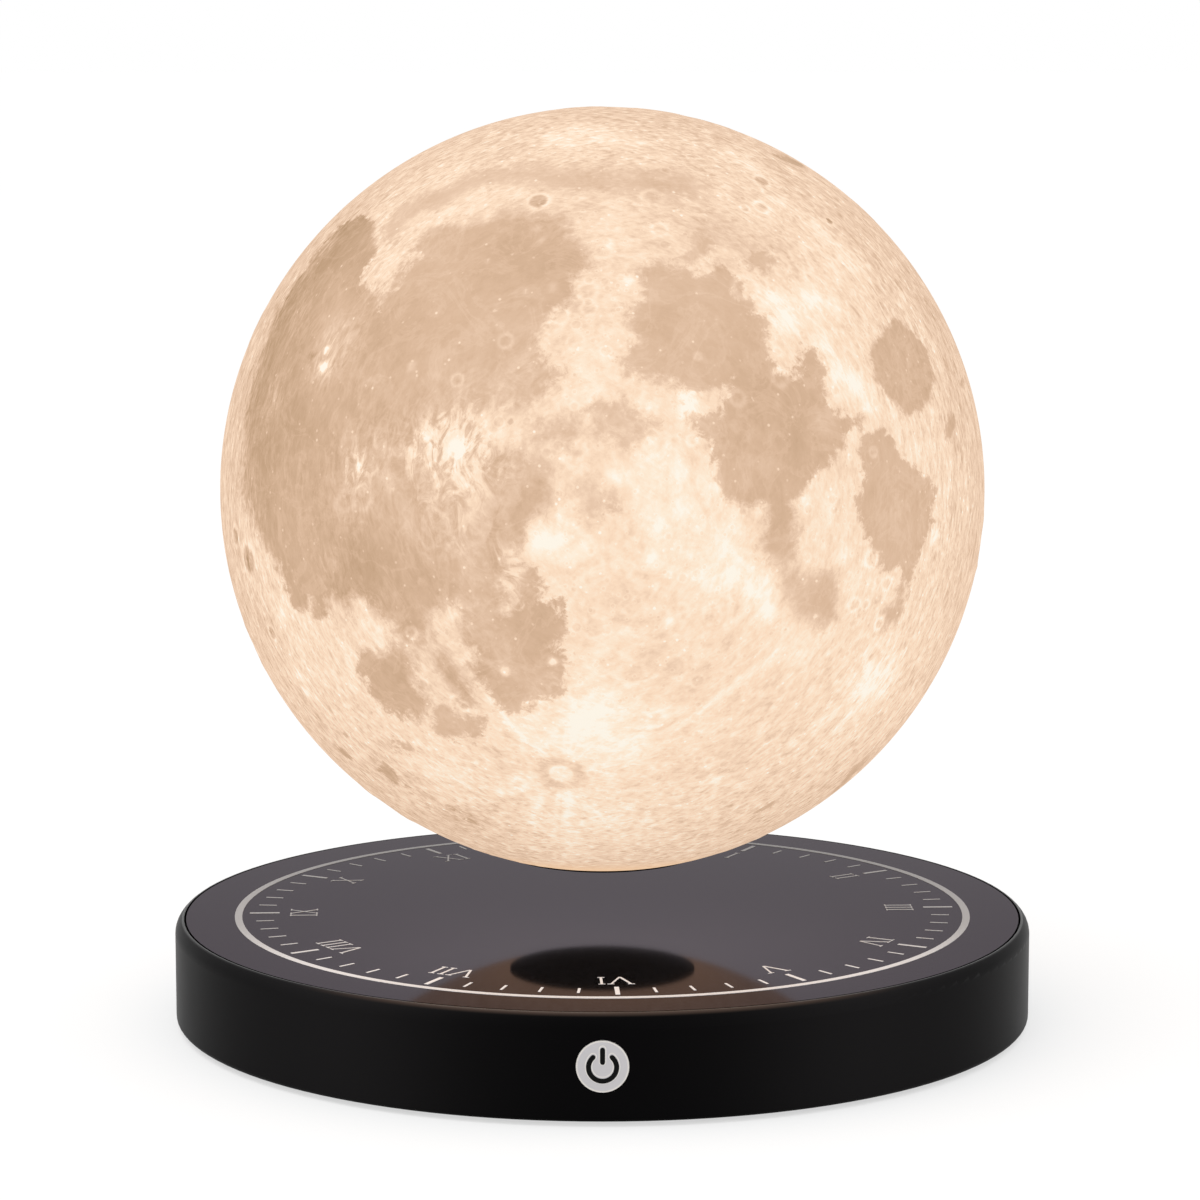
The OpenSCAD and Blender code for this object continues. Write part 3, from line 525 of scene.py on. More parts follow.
# Pale aprons that lie over the seas round bright craters: place, radius and strength
aprons = [
    (-.385, .11, .09, .72), (-.42, .13, .13, .26), (-.32, .20, .09, .20), (-.28, .08, .10, .26),
    (-.50, .10, .07, .22), (-.40, -.04, .12, .20), (-.34, -.14, .12, .16), (-.47, -.14, .08, .12),
    (-.64, .06, .045, .60), (-.64, .03, .11, .20), (-.60, .16, .07, .20), (-.66, -.07, .08, .16),
    (-.73, .32, .04, .45), (-.69, .38, .09, .28), (-.60, .30, .05, .18), (-.24, -.24, .03, .75),
    (-.235, -.19, .04, .60), (-.39, -.33, .04, .60), (-.26, -.46, .05, .18), (-.14, -.50, .05, .2),
    (-.30, -.36, .06, .15), (-.20, .30, .08, .20), (-.15, .40, .06, .20), (-.58, .52, .05, .30),
    (.26, .36, .05, .12), (.40, .10, .08, .10), (.32, .16, .04, .20), (.60, .07, .06, .15),
    (.77, -.05, .05, .12), (.52, -.27, .05, .12), (-.80, .05, .08, .14), (-.86, .25, .06, .3),
    (-.93, .28, .10, .60), (-.95, .08, .08, .60), (-.88, .42, .08, .55), (-.80, .55, .07, .45),
    (-.72, .65, .06, .45), (-.93, -.08, .08, .55), (-.80, .45, .06, .25), (-.72, -.20, .07, .18),
    (-.55, -.28, .06, .15), (-.08, -.03, .05, .4), (.05, .17, .06, .25),
]

# Bright and dark patches: place and radius in fractions of the disc's radius, and strength
patches = [
    (-.382, .104, .026, .16), (-.365, .13, .030, .10), (-.385, .12, .10, .05),
    (-.64, .06, .014, .22), (-.73, .322, .013, .60), (-.722, .367, .010, .45),
    (-.76, .35, .012, -.25), (.12, .215, .02, .34), (.225, .24, .025, .34), (.24, .21, .04, .16),
    (.48, .44, .035, .34), (.44, .50, .03, .26), (.55, .50, .03, .24), (.53, .45, .08, .12),
    (.66, .28, .03, .38), (.61, .31, .03, .22), (.70, .22, .03, .22), (.45, .36, .02, .15),
    (.58, .38, .03, .20), (.61, .475, .03, .16), (.65, .60, .03, .12), (.35, .87, .05, .18),
    (.40, .84, .03, .18), (.46, .745, .03, .14), (.57, .675, .03, .12), (.53, .64, .02, .12),
    (.07, .545, .02, .22), (-.05, .93, .07, .16), (-.12, .915, .05, .12), (.05, .90, .06, .06),
    (.36, .61, .10, -.11), (.26, .70, .08, -.09), (.14, .64, .06, -.05), (.72, .56, .10, -.06),
    (.62, .70, .08, -.06), (.17, .80, .06, -.06), (-.02, .80, .06, -.05), (-.45, .75, .06, -.07),
    (-.93, .25, .10, -.12), (-.85, .48, .10, -.10), (-.68, .70, .09, -.10), (-.96, .0, .08, -.10),
    (-.90, -.35, .10, -.06), (-.78, -.55, .10, -.04), (-.60, -.74, .12, -.05),
    (.93, .20, .10, -.08), (.88, .42, .08, -.06), (.84, .50, .06, -.05), (.80, -.55, .08, .08),
    (.0, -.90, .20, .09),
    (.12, .88, .10, -.06), (.28, .84, .08, -.05), (.50, .64, .08, -.08), (.60, -.62, .10, .04),
    (-.80, .60, .09, -.09), (-.57, .77, .06, -.06), (.0, .92, .05, .08),
    (-.42, -.42, .07, -.14), (-.36, -.49, .05, -.12), (-.40, -.36, .04, -.06),
    (-.66, -.36, .07, -.05), (-.43, -.83, .10, -.11), (-.56, -.72, .08, -.08),
    (-.33, -.88, .08, -.08), (-.48, -.66, .06, -.06), (-.72, -.48, .05, .06),
    (-.22, .77, .02, .15), (-.05, .77, .02, .15), (-.50, .325, .010, .30),
    (-.13, .53, .012, .20), (-.17, .685, .010, .20), (-.16, .655, .010, .18),
    (-.235, .715, .012, .18), (-.30, .71, .012, .18), (-.465, .133, .010, .25),
    (.05, .03, .02, .15), (.21, .04, .02, .12), (.29, .01, .03, .12), (.20, -.05, .10, .08),
    (.14, -.10, .03, .14),
    (.0, -.60, .14, .17), (-.04, -.60, .05, .11), (-.10, -.66, .06, .10), (.05, -.68, .10, .08),
    (-.79, -.485, .016, .35), (-.775, -.53, .014, .35), (-.80, -.50, .05, .12),
    (-.84, -.32, .014, .30), (-.67, -.43, .02, .15), (-.17, -.14, .022, .30),
    (-.11, -.13, .02, .28), (-.15, -.12, .06, .14), (-.35, -.06, .02, .12),
    (-.255, -.475, .009, .25), (-.13, -.45, .010, .25), (-.35, -.435, .015, .14),
    (-.39, -.335, .02, .18), (.87, -.12, .018, .35), (.32, -.14, .03, .28),
    (.345, -.10, .02, .15), (.13, -.18, .025, .24), (.385, -.26, .018, .35),
    (.435, -.32, .018, .30), (.43, -.29, .04, .14), (.175, -.345, .012, .26),
    (.06, -.37, .018, .16), (.27, -.24, .02, .20), (.345, -.215, .02, .20),
    (.53, -.03, .018, .26), (.43, -.235, .010, .20), (.64, -.17, .02, .16),
    (.69, -.52, .018, .25), (.735, -.53, .018, .25), (.71, -.50, .07, .26),
    (.55, -.525, .010, .16), (.40, -.525, .010, .12), (.28, -.20, .12, .10),
    (.36, -.24, .10, .12), (.16, .10, .06, .05), (.11, .05, .08, .05),
    (.62, .30, .08, .10), (.58, .18, .04, .12), (.57, -.10, .06, .08), (.46, .84, .05, -.08),
    (-.70, .42, .09, .08), (-.52, .0, .10, .05), (-.30, -.02, .10, .07), (-.24, .45, .12, .03),
    (.20, .45, .10, -.02), (.12, -.42, .10, -.06), (.30, -.42, .12, -.03), (.5, -.68, .14, -.05),
    (.28, -.72, .14, -.06), (-.25, -.80, .12, -.05), (-.62, -.60, .10, -.03),
    (-.08, -.20, .08, .04), (.06, -.26, .10, -.03), (.08, .66, .05, .05), (.17, .72, .10, -.04),
    (.42, .66, .08, -.04), (.0, .70, .04, .06), (-.02, .40, .05, .08), (.0, .32, .04, .10),
    (-.03, .27, .03, .10), (-.56, .60, .025, .14), (-.58, .66, .025, .14), (-.50, .70, .03, .08),
    (-.40, .74, .05, .05), (.66, -.24, .05, .05), (.66, -.42, .06, .05), (.52, -.42, .08, .04),
]

# Craters with a rim of their own: place, radius in mm, and strength of the rim and the floor
pits = [
    (-.382, .104, 2.2, .08, .26), (-.64, .06, .9, .10, .26), (-.73, .322, 1.3, .16, .60),
    (-.722, .367, 1.0, .10, .40), (-.253, .39, 1.6, .14, -.04), (-.38, .288, 1.4, .14, -.06),
    (-.11, .455, 1.8, .14, -.08), (-.04, .52, 2.2, .14, -.05), (-.035, .475, 1.7, .14, -.06),
    (-.167, .755, 2.4, .14, -.34), (-.926, -.182, 3.7, .12, -.30), (-.865, -.375, 1.9, .08, -.26),
    (-.96, -.12, 2.4, .08, -.22), (.416, .807, 2.0, .12, -.26), (.593, .702, 1.2, .06, -.30),
    (.372, .735, 1.2, .20, -.12), (.415, .738, 1.9, .20, -.12), (.376, .529, 2.8, .12, -.04),
    (.15, .68, 1.8, .14, -.05), (.13, .765, 2.4, .12, -.06), (.465, .295, 2.0, .14, .02),
    (.355, .24, 1.7, .12, .02), (.25, .35, 1.0, .10, .10), (.235, .13, 1.2, .12, .02),
    (.705, -.18, 1.9, .20, -.10), (.725, -.35, 1.4, .18, -.08), (.66, -.30, 1.6, .16, -.08),
    (.745, -.245, 1.5, .18, -.08), (.69, -.30, 1.2, .16, -.10), (-.185, -.57, 2.2, .08, -.10),
    (-.385, -.553, 1.3, .16, -.06), (-.362, -.568, 1.2, .16, -.06), (-.605, -.39, 3.8, .10, .04),
    (-.50, -.375, 1.4, .18, .06), (-.255, -.475, 1.1, .14, .14), (-.13, -.45, 1.0, .10, .28),
    (-.43, .165, .9, .04, -.16), (-.24, .18, .9, .04, -.16), (.56, -.33, .8, .05, .25),
    (-.63, -.02, 2.6, .12, -.02), (-.675, -.03, 2.2, .10, -.02), (.71, .10, 1.2, .14, .0),
    (-.02, -.36, 2.4, .07, -.05), (.08, -.48, 2.6, .07, -.05), (.25, -.50, 1.6, .06, -.12),
    (.20, -.32, 2.2, .07, -.04), (.02, -.45, 3.0, .06, -.04), (.14, -.60, 2.0, .07, -.05),
    (.28, -.71, 1.2, .10, -.05), (-.22, -.77, 2.0, .10, .06), (-.55, .0, .8, .06, .22),
    (.75, .30, .7, .05, .20), (.80, .34, .7, .05, .18), (-.20, .52, .7, .06, .20),
    (-.30, .60, .7, .05, .18), (-.28, .47, .6, .05, .20), (.30, .45, .6, .05, .18),
]


def shore_distance(points, outline):
    """Signed distance in mm from each point of the flat map to an outline, positive inside:
    the least distance to its edges, with the sign of the crossing test."""
    edges = np.array([flat_point(u, v) for u, v in outline])
    least = np.full(len(points), 1e9)
    inside = np.zeros(len(points), bool)
    for start, end in zip(edges, np.roll(edges, -1, axis=0)):
        run = end - start
        share = np.clip((points - start) @ run / (run @ run), 0, 1)
        least = np.minimum(least, np.linalg.norm(points - start - share[:, None] * run, axis=1))
        if start[1] != end[1]:
            crosses = (points[:, 1] > start[1]) != (points[:, 1] > end[1])
            meet = start[0] + (points[:, 1] - start[1]) * run[0] / run[1]
            inside ^= crosses & (points[:, 0] < meet)
    return np.where(inside, least, -least)


# The shell's section, from the opening's edge over the top and back inside, as (radius,
# height above the moon's lowest point)
opening_r = 0.0223
lip_top = 0.004255
barrel_r = 0.0209
collar_r = 0.0256
collar_top = 0.008255
shell_t = 0.0016
relief = 0.30 * mm
skin_r = moon_r - relief
inner_r = moon_r - shell_t
outer_rows = 236
inner_rows = 14
columns = 360


def arc(r, start, end, rows):
    """An arc round the moon's centre: (r sin a, moon_r - r cos a) for each angle a."""
    angle = np.linspace(start, end, rows)
    return np.stack([r * np.sin(angle), moon_r - r * np.cos(angle)], axis=-1)


section = np.concatenate([
    arc(skin_r, math.asin(opening_r / skin_r), math.pi, outer_rows),
    arc(inner_r, math.pi, math.asin(collar_r / inner_r), inner_rows),
    [(collar_r, collar_top), (barrel_r, collar_top), (barrel_r, lip_top), (opening_r, lip_top)]])


def lathe(name, section, bearings):
    """A closed surface of revolution: every (radius, height) of the section is turned to each
    bearing, (r sin b, -r cos b, z). A row on the axis is one vertex, and the last row joins
    the first."""
    r, z = section.T
    on_axis = r < 1e-7
    count = np.where(on_axis, 1, len(bearings))
    low = (np.cumsum(count) - count)[:, None] + np.where(on_axis[:, None], 0,
                                                         np.arange(len(bearings)))
    r = np.where(on_axis, 0, r)[:, None]
    points = np.empty((count.sum(), 3))
    points[low] = np.stack(np.broadcast_arrays(r * np.sin(bearings), -r * np.cos(bearings),
                                               z[:, None]), axis=-1)
    high, next_on_axis = np.roll(low, -1, axis=0), np.roll(on_axis, -1)
    corners = np.stack([low, np.roll(low, -1, axis=1), np.roll(high, -1, axis=1), high], axis=-1)
    faces = []
    for rows, used in ((~on_axis & ~next_on_axis, [0, 1, 2, 3]),
                       (on_axis & ~next_on_axis, [0, 2, 3]),
                       (~on_axis & next_on_axis, [0, 1, 2])):
        faces += corners[rows][..., used].reshape(-1, len(used)).tolist()
    mesh = bpy.data.meshes.new(name)
    mesh.from_pydata(points.tolist(), [], faces)
    mesh.update()
    return mesh


# Columns lie closer together on the face than behind
crowding = 0.55
turns = np.linspace(0, 2 * math.pi, columns, endpoint=False)
mesh = lathe("moon", section + (0, moon_foot), turns - crowding * np.sin(turns))
spots = np.empty(len(mesh.vertices) * 3)
mesh.vertices.foreach_get("co", spots)
spots = spots.reshape(-1, 3)
away = spots - moon_centre
reach = np.linalg.norm(away, axis=1)
direction = away / reach[:, None]
printed = reach > moon_r - relief - 0.01 * mm
flat = flat_map(direction)

# How far each point is inside the nearest sea, in mm, and how dark the seas near it are: a
# mean in which a sea counts exp(distance / blend) and the usual depth counts a little
usual_depth, usual_weight = 0.8, 0.051
blend = 2.5
shore = np.full(len(flat), -60.0)
depth = np.zeros(len(flat))
weight = np.full(len(flat), usual_weight)
for darkness, outline in seas:
    gap = shore_distance(flat, outline)
    near = np.exp(np.clip(gap, -30, 4) / blend)
    depth += near * (darkness - usual_depth)
    weight += near
    shore = np.maximum(shore, gap)
depth = usual_depth + depth / weight
shore = np.clip(shore, -20, 20)


def soft_spots(spots):
    """The sum over all spots of strength times exp(-(distance / size) squared)."""
    total = np.zeros(len(direction))
    for u, v, size, strength in spots:
        gap = np.linalg.norm(direction - face_direction(u, v), axis=1)
        total += strength * np.exp(-(gap / size) ** 2)
    return total


glow = soft_spots(patches)
veil = soft_spots(aprons)
calm = soft_spots(calm_shores)
soft = soft_spots(soft_shores)

# How far each point is from the nearest pit, in that pit's radii
pit_gap = np.full(len(flat), 9.0)
pit_rim = np.zeros(len(flat))
pit_floor = np.zeros(len(flat))
for u, v, size, rim, floor in pits:
    gap = np.linalg.norm(direction - face_direction(u, v), axis=1) * moon_r / mm / size
    nearer = gap < pit_gap
    pit_gap[nearer] = gap[nearer]
    pit_rim[nearer], pit_floor[nearer] = rim, floor
limb = np.degrees(np.arccos(np.clip(direction @ to_eye, -1, 1)))

# Relief inside the printed skin's thickness: sunken seas, and craters of many sizes with
# raised rims
rng = np.random.default_rng(7)
crater_n = 420
crater_least, crater_spread = 0.014, 0.05
rim_w, rim_rise, bowl_fall = 0.25, 0.020, 0.030
sea_fall, shore_w = 0.12 * mm, 1.2
deepest = 0.6 * mm
height = -sea_fall / (1 + np.exp(-shore / shore_w))
for _ in range(crater_n):
    middle = rng.normal(size=3)
    middle /= np.linalg.norm(middle)
    size = crater_least + crater_spread * rng.random() ** 4
    gap = np.linalg.norm(direction - middle, axis=1) / size
    rim = np.exp(-((gap - 1) / rim_w) ** 2)
    bowl = np.clip(1 - gap ** 2, 0, None)
    height += moon_r * size * (rim_rise * rim - bowl_fall * bowl)
height = np.clip(height, -deepest, relief)
spots[printed] += (direction * height[:, None])[printed]
mesh.vertices.foreach_set("co", spots.ravel())
for name, values in (("shore", shore), ("depth", depth), ("glow", glow), ("veil", veil),
                     ("calm", calm), ("soft", soft), ("pit_gap", pit_gap),
                     ("pit_rim", pit_rim), ("pit_floor", pit_floor), ("limb", limb)):
    kept = mesh.attributes.new(name, "FLOAT", "POINT")
    kept.data.foreach_set("value", values.astype(np.float32))
mesh.shade_smooth()
mesh.set_sharp_from_angle(angle=math.radians(40))
moon = bpy.data.objects.new("moon_skin", mesh)
bpy.context.scene.collection.objects.link(moon)

paint = Paint("moon_plastic")
place = paint.scaled(paint.vector("SUBTRACT", paint.object_place(), moon_centre), 1 / moon_r)
shore = paint.attribute("shore")
depth = paint.attribute("depth")
glow = paint.attribute("glow")

# Shores break up into capes and bays, coarse ones first
coarse = paint.noise(place, 8.0, 10.0, 0.66, 0.3)
fine = paint.noise(place, 34.0, 8.0, 0.7, 0.5)
ragged = 1 - paint.attribute("calm")
shore_line = shore + (11.0 * (coarse - 0.5) + 11.0 * (fine - 0.5)) * ragged
fading = 4.0 * paint.attribute("soft")
sea = paint.ease(shore_line, -0.9 - fading, 1.3 + fading)

# Texture is drawn out along the face's edge
inward = paint.dot(place, tuple(to_eye))
drawn = paint.vector("ADD", place, paint.scaled(tuple(to_eye), 2.6 * inward))

# Wisps of pale dust over the seas
wisps = paint.noise(drawn, 13.0, 9.0, 0.66, 1.6)
dust = paint.attribute("veil") * (0.15 + 1.5 * paint.ease(wisps, 0.36, 0.64))
sea = sea * (1 - paint.clamped(dust))

# Tone of the seas and of the land
cloud = paint.noise(place, 3.2, 6.0, 0.6, 0.5)
grain = paint.noise(drawn, 75.0, 6.0, 0.72)
mottle = paint.noise(drawn, 12.0, 9.0, 0.64, 0.9)
ridge = 1 - paint.maths("ABSOLUTE", 2 * paint.noise(place, 7.0, 6.0, 0.62, 1.4) - 1)
limb = paint.attribute("limb")
high = paint.parts(place)[2]
behind = paint.ease(-inward, 0.0, 0.45)
rough_edge = (paint.ease(limb, 15.0, 70.0) * (1 - 0.7 * paint.ease(high, 0.35, 0.8))
              * (1 - 0.6 * behind))
sea_tone = (0.565 - 0.24 * depth + 0.36 * (cloud - 0.5) + 0.10 * (grain - 0.5)
            + 0.20 * (mottle - 0.5) + 0.06 * paint.ease(ridge, 0.90, 1.0))
land_tone = (0.69 + 0.34 * (cloud - 0.5) + 0.62 * (mottle - 0.5) + 0.22 * (wisps - 0.5)
             + (0.20 + 0.34 * rough_edge) * (grain - 0.5))

# Bright points with a soft halo, here and there on the land
dots = paint.cells(place, 11.0)
dot_tone = (0.20 * paint.maths("LESS_THAN", paint.cell_random(dots), 0.35)
            * paint.bell(dots / 0.17))

# Painted shading of hills and hollows, as if lit from one side, that shows towards the limb: the
# difference between two near samples
hills = paint.noise(drawn, 26.0, 7.0, 0.6, 0.4)
shifted = paint.vector("ADD", drawn, tuple(0.012 * face_right))
hill_shading = (hills - paint.noise(shifted, 26.0, 7.0, 0.6, 0.4)) * (
    0.4 + 0.9 * paint.ease(limb, 30.0, 75.0))

# The placed craters' bright rims and their floors
pit_gap = paint.attribute("pit_gap")
pit_tone = (paint.attribute("pit_rim") * paint.bell((pit_gap - 1.0) / 0.33)
            + paint.attribute("pit_floor") * paint.ease(1.05 - pit_gap, 0.0, 0.35))


def craters(scale, share, size):
    """Random rings: share of the cells hold one crater each, with a bright rim at about size
    from its middle and a darker floor inside. Sizes are in cells, scale per moon's radius."""
    cell = paint.cells(place, scale)
    random = paint.cell_random(cell)
    rim_at = size * (0.5 + 0.7 * random.other(1))
    rim = paint.bell((cell - rim_at) / (0.22 * size))
    floor = paint.ease(rim_at - cell, 0.0, 0.12)
    return paint.maths("LESS_THAN", random, share) * (rim - 0.8 * floor)


ring_tone = (0.05 * craters(13.0, 0.35, 0.34) + 0.06 * craters(27.0, 0.4, 0.32)
             + 0.07 * craters(55.0, 0.4, 0.30))

# The far side has no great seas: only broad pale and dull country, a few small dark floors and
# larger craters
broad = paint.noise(place, 2.3, 7.0, 0.6, 0.6)
far_floor = paint.ease(broad + 0.3 * (coarse - 0.5), 0.58, 0.62)
far_tone = behind * (0.75 * (broad - 0.5) - 0.20 * far_floor + 0.20 * craters(4.2, 0.6, 0.26)
                     + 0.16 * craters(8.0, 0.5, 0.30) + 0.14 * craters(19.0, 0.5, 0.30)
                     - 0.5 * hill_shading)

# Small bright specks
speck_tone = (0.34 * paint.ease(0.17 - paint.cells(place, 34.0), 0.0, 0.10)
              * paint.ease(mottle, 0.44, 0.6))


def rays(u, v, reach, threads, curl, cut, strength):
    """Bright rays from a crater: noise that mostly depends on the bearing round it and, by
    curl, on the place, fading with the distance over reach, in fractions of the moon's
    radius."""
    middle = tuple(face_direction(u, v))
    gap = paint.distance(place, middle)
    along = paint.scaled(middle, paint.dot(place, middle))
    bearing = paint.vector("NORMALIZE", paint.vector("SUBTRACT", place, along))
    wander = paint.vector("ADD", bearing, paint.scaled(place, curl))
    comb = paint.noise(wander, threads, 4.0, 0.6)
    patchy = paint.noise(place, 9.0, 4.0, 0.6)
    fade = paint.maths("EXPONENT", -(gap / reach)) * paint.ease(gap, 0.015, 0.10)
    return strength * paint.ease(comb, cut, cut + 0.16) * fade * (0.35 + 1.3 * patchy)


def streak(start, end, width, strength):
    """One straight ray between two points of the disc, width in mm."""
    a, b = face_direction(*start), face_direction(*end)
    middle = (a + b) / np.linalg.norm(a + b)
    across = np.cross(a, b)
    across /= np.linalg.norm(across)
    lengthwise = np.cross(across, middle)
    half = float(np.dot(b, lengthwise))
    off = paint.dot(place, tuple(across)) / (width * mm / moon_r)
    run = paint.dot(place, tuple(lengthwise)) / half
    near_side = paint.ease(paint.dot(place, tuple(middle)), 0.5, 0.7)
    body = paint.bell(off) * paint.ease(1.15 - run * run, 0.0, 0.4)
    return strength * body * near_side * (0.4 + 1.2 * mottle)


ray_tone = (rays(-.108, -.743, 0.45, 2.8, 0.25, 0.47, 0.14)
            + rays(-.382, .104, 0.20, 4.5, 0.7, 0.46, 0.15)
            + rays(-.64, .06, 0.08, 4.5, 1.2, 0.44, 0.14)
            + rays(-.73, .322, 0.07, 4.0, 1.2, 0.46, 0.14)
            + rays(.71, -.52, 0.10, 4.5, 0.8, 0.46, 0.22)
            + rays(.32, -.14, 0.10, 4.5, 0.8, 0.46, 0.14)
            + streak((-.15, -.70), (-.44, -.35), 0.8, 0.06)
            + streak((-.20, -.66), (-.40, -.38), 0.5, 0.06)
            + streak((-.28, -.57), (-.37, -.44), 0.5, 0.06)
            + streak((.28, -.55), (.44, -.44), 0.9, 0.06)
            + streak((.24, -.59), (.47, -.41), 1.2, 0.16)
            + streak((-.155, -.79), (-.19, -.88), 1.1, 0.16)
            + streak((-.085, -.79), (-.10, -.88), 0.9, 0.14))

# The south crater's smooth floor and its dark collar
south = tuple(face_direction(-.108, -.743))
gap = paint.distance(place, south) * (moon_r / mm)
south_tone = 0.16 * paint.ease(3.0 - gap, 0.0, 0.6) - 0.20 * paint.bell((gap - 4.3) / 1.5)

# All of them together, with painted shade towards the face's edge, as a step on the scale of
# shades
tone = paint.node("ShaderNodeMix", {"data_type": "FLOAT"}, {0: sea, 2: land_tone, 3: sea_tone})
tone = (tone + glow * (0.5 + wisps) + ray_tone
        + (ring_tone + hill_shading + dot_tone) * (1 - 0.8 * sea)
        + pit_tone + speck_tone + south_tone + far_tone
        - (0.10 + 0.2 * cloud) * paint.ease(limb, 50.0, 84.0))

ramp = paint.node("ShaderNodeValToRGB", None, {0: paint.clamped(tone)})
stops = ramp.socket.node.color_ramp.elements
shades = [(0.0, (0.42, 0.26, 0.14)), (0.34, (0.71, 0.485, 0.33)), (0.52, (0.83, 0.595, 0.43)),
          (0.70, (0.98, 0.735, 0.54)), (0.86, (1.0, 0.84, 0.665)), (1.0, (1.0, 0.93, 0.81))]
for at, colour in shades:
    stop = stops[0] if at == 0 else stops[-1] if at == 1 else stops.new(at)
    stop.color = (*colour, 1)
# The light is more orange underneath, round the opening
lit = paint.mix(0.8 * paint.ease(-high, 0.90, 0.975), ramp, (1.0, 0.66, 0.40, 1))
dim = paint.mix(1.0, lit, (0.24, 0.24, 0.24, 1))
dim.socket.node.blend_type = "MULTIPLY"
# The lamp inside sits low, so the underside glows a little more than the top
paint.finish({
    "Base Color": dim,
    "Roughness": 0.7,
    "Specular IOR Level": 0.04,
    "Emission Color": paint.scaled(lit, 1.02 - 0.10 * high),
    "Emission Strength": 0.79,
    "Normal": paint.bump(0.6 * mottle + 0.4 * grain, 0.25, 0.0004)})
mesh.materials.append(paint.owner)
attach(moon, "moon")
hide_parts("moon_shell")

# ---------------------------------------------------------------- inside the stand and moon
# The magnets, coils and boards lie inside the stand, and the lamp and its receiver inside the
# moon. Pieces of one material share it.


def metal(name, shade, tint, roughness):
    """Bare metal with a fine uneven sheen."""
    paint = Paint(name)
    marks = paint.noise(paint.object_place(), 900.0, 3.0, 0.6)
    paint.finish({
        "Base Color": paint.mix(marks, (*shade, 1), (*tint, 1)),
        "Metallic": 1.0,
        "Roughness": roughness + 0.15 * (marks - 0.5)})
    return paint.owner


def wound(name, shade, tint):
    """Lacquered wire, wound in level rows about 1 mm apart."""
    paint = Paint(name)
    turns = paint.node("ShaderNodeTexWave", {"bands_direction": "Z"},
                       {"Vector": paint.object_place(), "Scale": 320.0, "Distortion": 0.4,
                        "Detail": 1.0})
    paint.finish({
        "Base Color": paint.mix(turns, (*shade, 1), (*tint, 1)),
        "Metallic": 0.85,
        "Roughness": 0.3,
        "Normal": paint.bump(turns, 0.6, 0.0003)})
    return paint.owner


dress(satin("tape", (0.012, 0.012, 0.012), (0.02, 0.02, 0.02), 0.7, 0.2), "glass_tape")
dress(metal("steel", (0.42, 0.42, 0.44), (0.56, 0.56, 0.58), 0.32), "plate_screws",
      "sensor_screws", "board_screws", "lamp_screws", "jack_pin")
dress(satin("rubber", (0.010, 0.010, 0.010), (0.016, 0.016, 0.016), 0.75, 0.2), "rubber_feet")
dress(metal("iron", (0.20, 0.21, 0.22), (0.30, 0.31, 0.33), 0.42), "back_iron", "coil_cores",
      "magnet_yoke")
dress(satin("ferrite", (0.025, 0.026, 0.028), (0.045, 0.046, 0.05), 0.6, 0.4), "field_magnet",
      "power_coil_shield", "receiver_ferrite", "choke")
dress(satin("cream_plastic", (0.62, 0.57, 0.44), (0.70, 0.65, 0.52), 0.5, 0.4), "coil_bobbins")
dress(wound("copper", (0.45, 0.16, 0.05), (0.72, 0.30, 0.11)), "coil_windings", "power_coil",
      "receiver_coil")
dress(satin("circuit_board", (0.008, 0.07, 0.028), (0.016, 0.12, 0.05), 0.35, 0.5, 700.0),
      "sensor_board", "main_board", "switch_board", "receiver_board")
dress(satin("chip_plastic", (0.008, 0.008, 0.009), (0.014, 0.014, 0.015), 0.55, 0.4),
      "hall_sensors", "controller_chip", "driver_chips", "jack_housing", "switch_body",
      "switch_plunger", "receiver_parts")
dress(satin("grey_cable", (0.42, 0.42, 0.44), (0.50, 0.50, 0.52), 0.5, 0.4), "ribbon_cable")
dress(metal("aluminium", (0.62, 0.63, 0.65), (0.72, 0.73, 0.75), 0.3), "heat_sinks",
      "lamp_board")
dress(satin("capacitor_sleeve", (0.02, 0.03, 0.09), (0.03, 0.045, 0.12), 0.35, 0.5),
      "capacitors")
dress(satin("red_cable", (0.32, 0.012, 0.012), (0.42, 0.02, 0.02), 0.45, 0.4), "button_lead")
dress(metal("nickel", (0.60, 0.59, 0.56), (0.72, 0.71, 0.68), 0.18), "float_magnet")
dress(satin("white_plastic", (0.72, 0.72, 0.70), (0.80, 0.80, 0.78), 0.45, 0.4),
      "board_pillars")

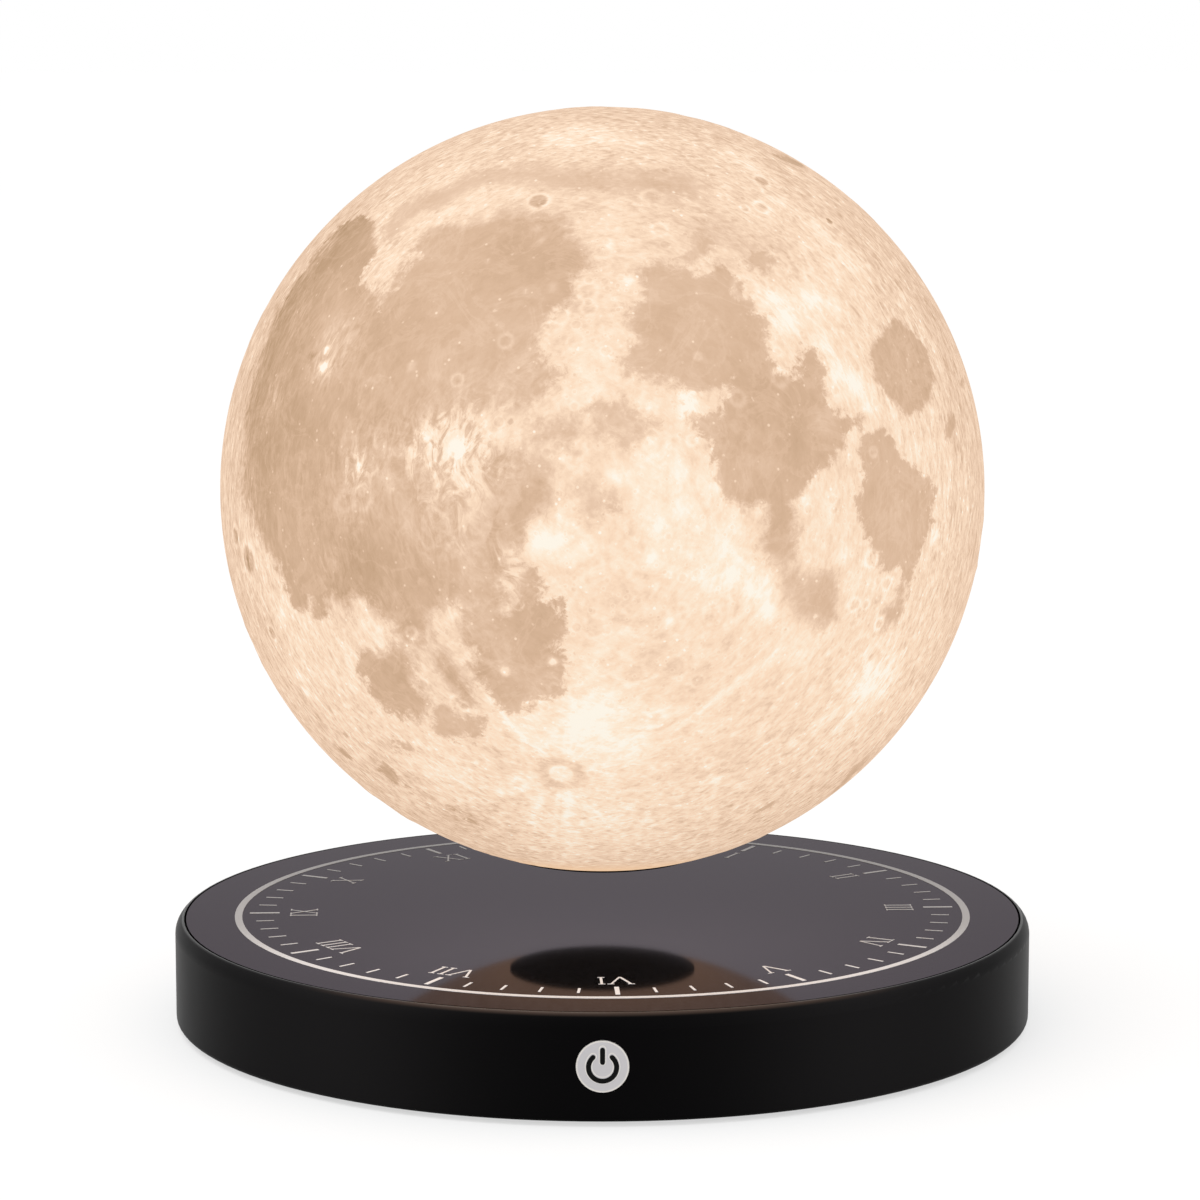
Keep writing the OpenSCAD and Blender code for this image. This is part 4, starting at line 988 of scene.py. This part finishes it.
# The lit diodes and the opal cover over them
for name, strength, node in (("led_lens", 3.0, "lamp_leds"), ("opal_plastic", 1.5, "lamp_dome")):
    paint = Paint(name)
    milk = paint.noise(paint.object_place(), 300.0, 2.0, 0.5)
    warm = paint.mix(milk, (1.0, 0.80, 0.56, 1), (1.0, 0.86, 0.66, 1))
    paint.finish({"Base Color": warm, "Roughness": 0.5, "Emission Color": warm,
                  "Emission Strength": strength})
    dress(paint.owner, node)

# ---------------------------------------------------------------- floor and light
# A plain pale table under an even, soft light. The table looks white to the camera and keeps
# the stand's shadow.
sky_light = 1.0
table_grey = 0.4

world = bpy.data.worlds.new("studio")
bpy.context.scene.world = world
sky = Tree(world)
sky.feed(sky.nodes["Background"].inputs["Color"], (sky_light, sky_light, sky_light, 1))

paint = Paint("table")
paths = paint.node("ShaderNodeLightPath", output="Is Camera Ray")
seen = paint.clamped(paths + paths.other("Is Glossy Ray"))
grain = paint.noise(paint.object_place(), 3.0, 2.0, 0.5)
lift = 1.0 - table_grey * sky_light
paint.finish({
    "Base Color": paint.mix(grain, (*[table_grey] * 3, 1), (*[table_grey + 0.01] * 3, 1)),
    "Roughness": 0.9,
    "Specular IOR Level": 0.0,
    "Emission Color": paint.mix(seen, (0, 0, 0, 1), (lift, lift, lift, 1)),
    "Emission Strength": 1.0})
half = 12.0
floor_mesh = bpy.data.meshes.new("table")
floor_mesh.from_pydata([(-half, -half, 0), (half, -half, 0), (half, half, 0), (-half, half, 0)],
                       [], [(0, 1, 2, 3)])
floor_mesh.materials.append(paint.owner)
floor = bpy.data.objects.new("table", floor_mesh)
bpy.context.scene.collection.objects.link(floor)

softbox_data = bpy.data.lights.new("softbox", "AREA")
softbox_data.shape = "DISK"
softbox_data.size = 1.2
softbox_data.energy = 5.0
softbox = bpy.data.objects.new("softbox", softbox_data)
softbox.location = (-0.5, -0.4, 1.6)
softbox.rotation_euler = (math.radians(-14), math.radians(-17), 0)
bpy.context.scene.collection.objects.link(softbox)
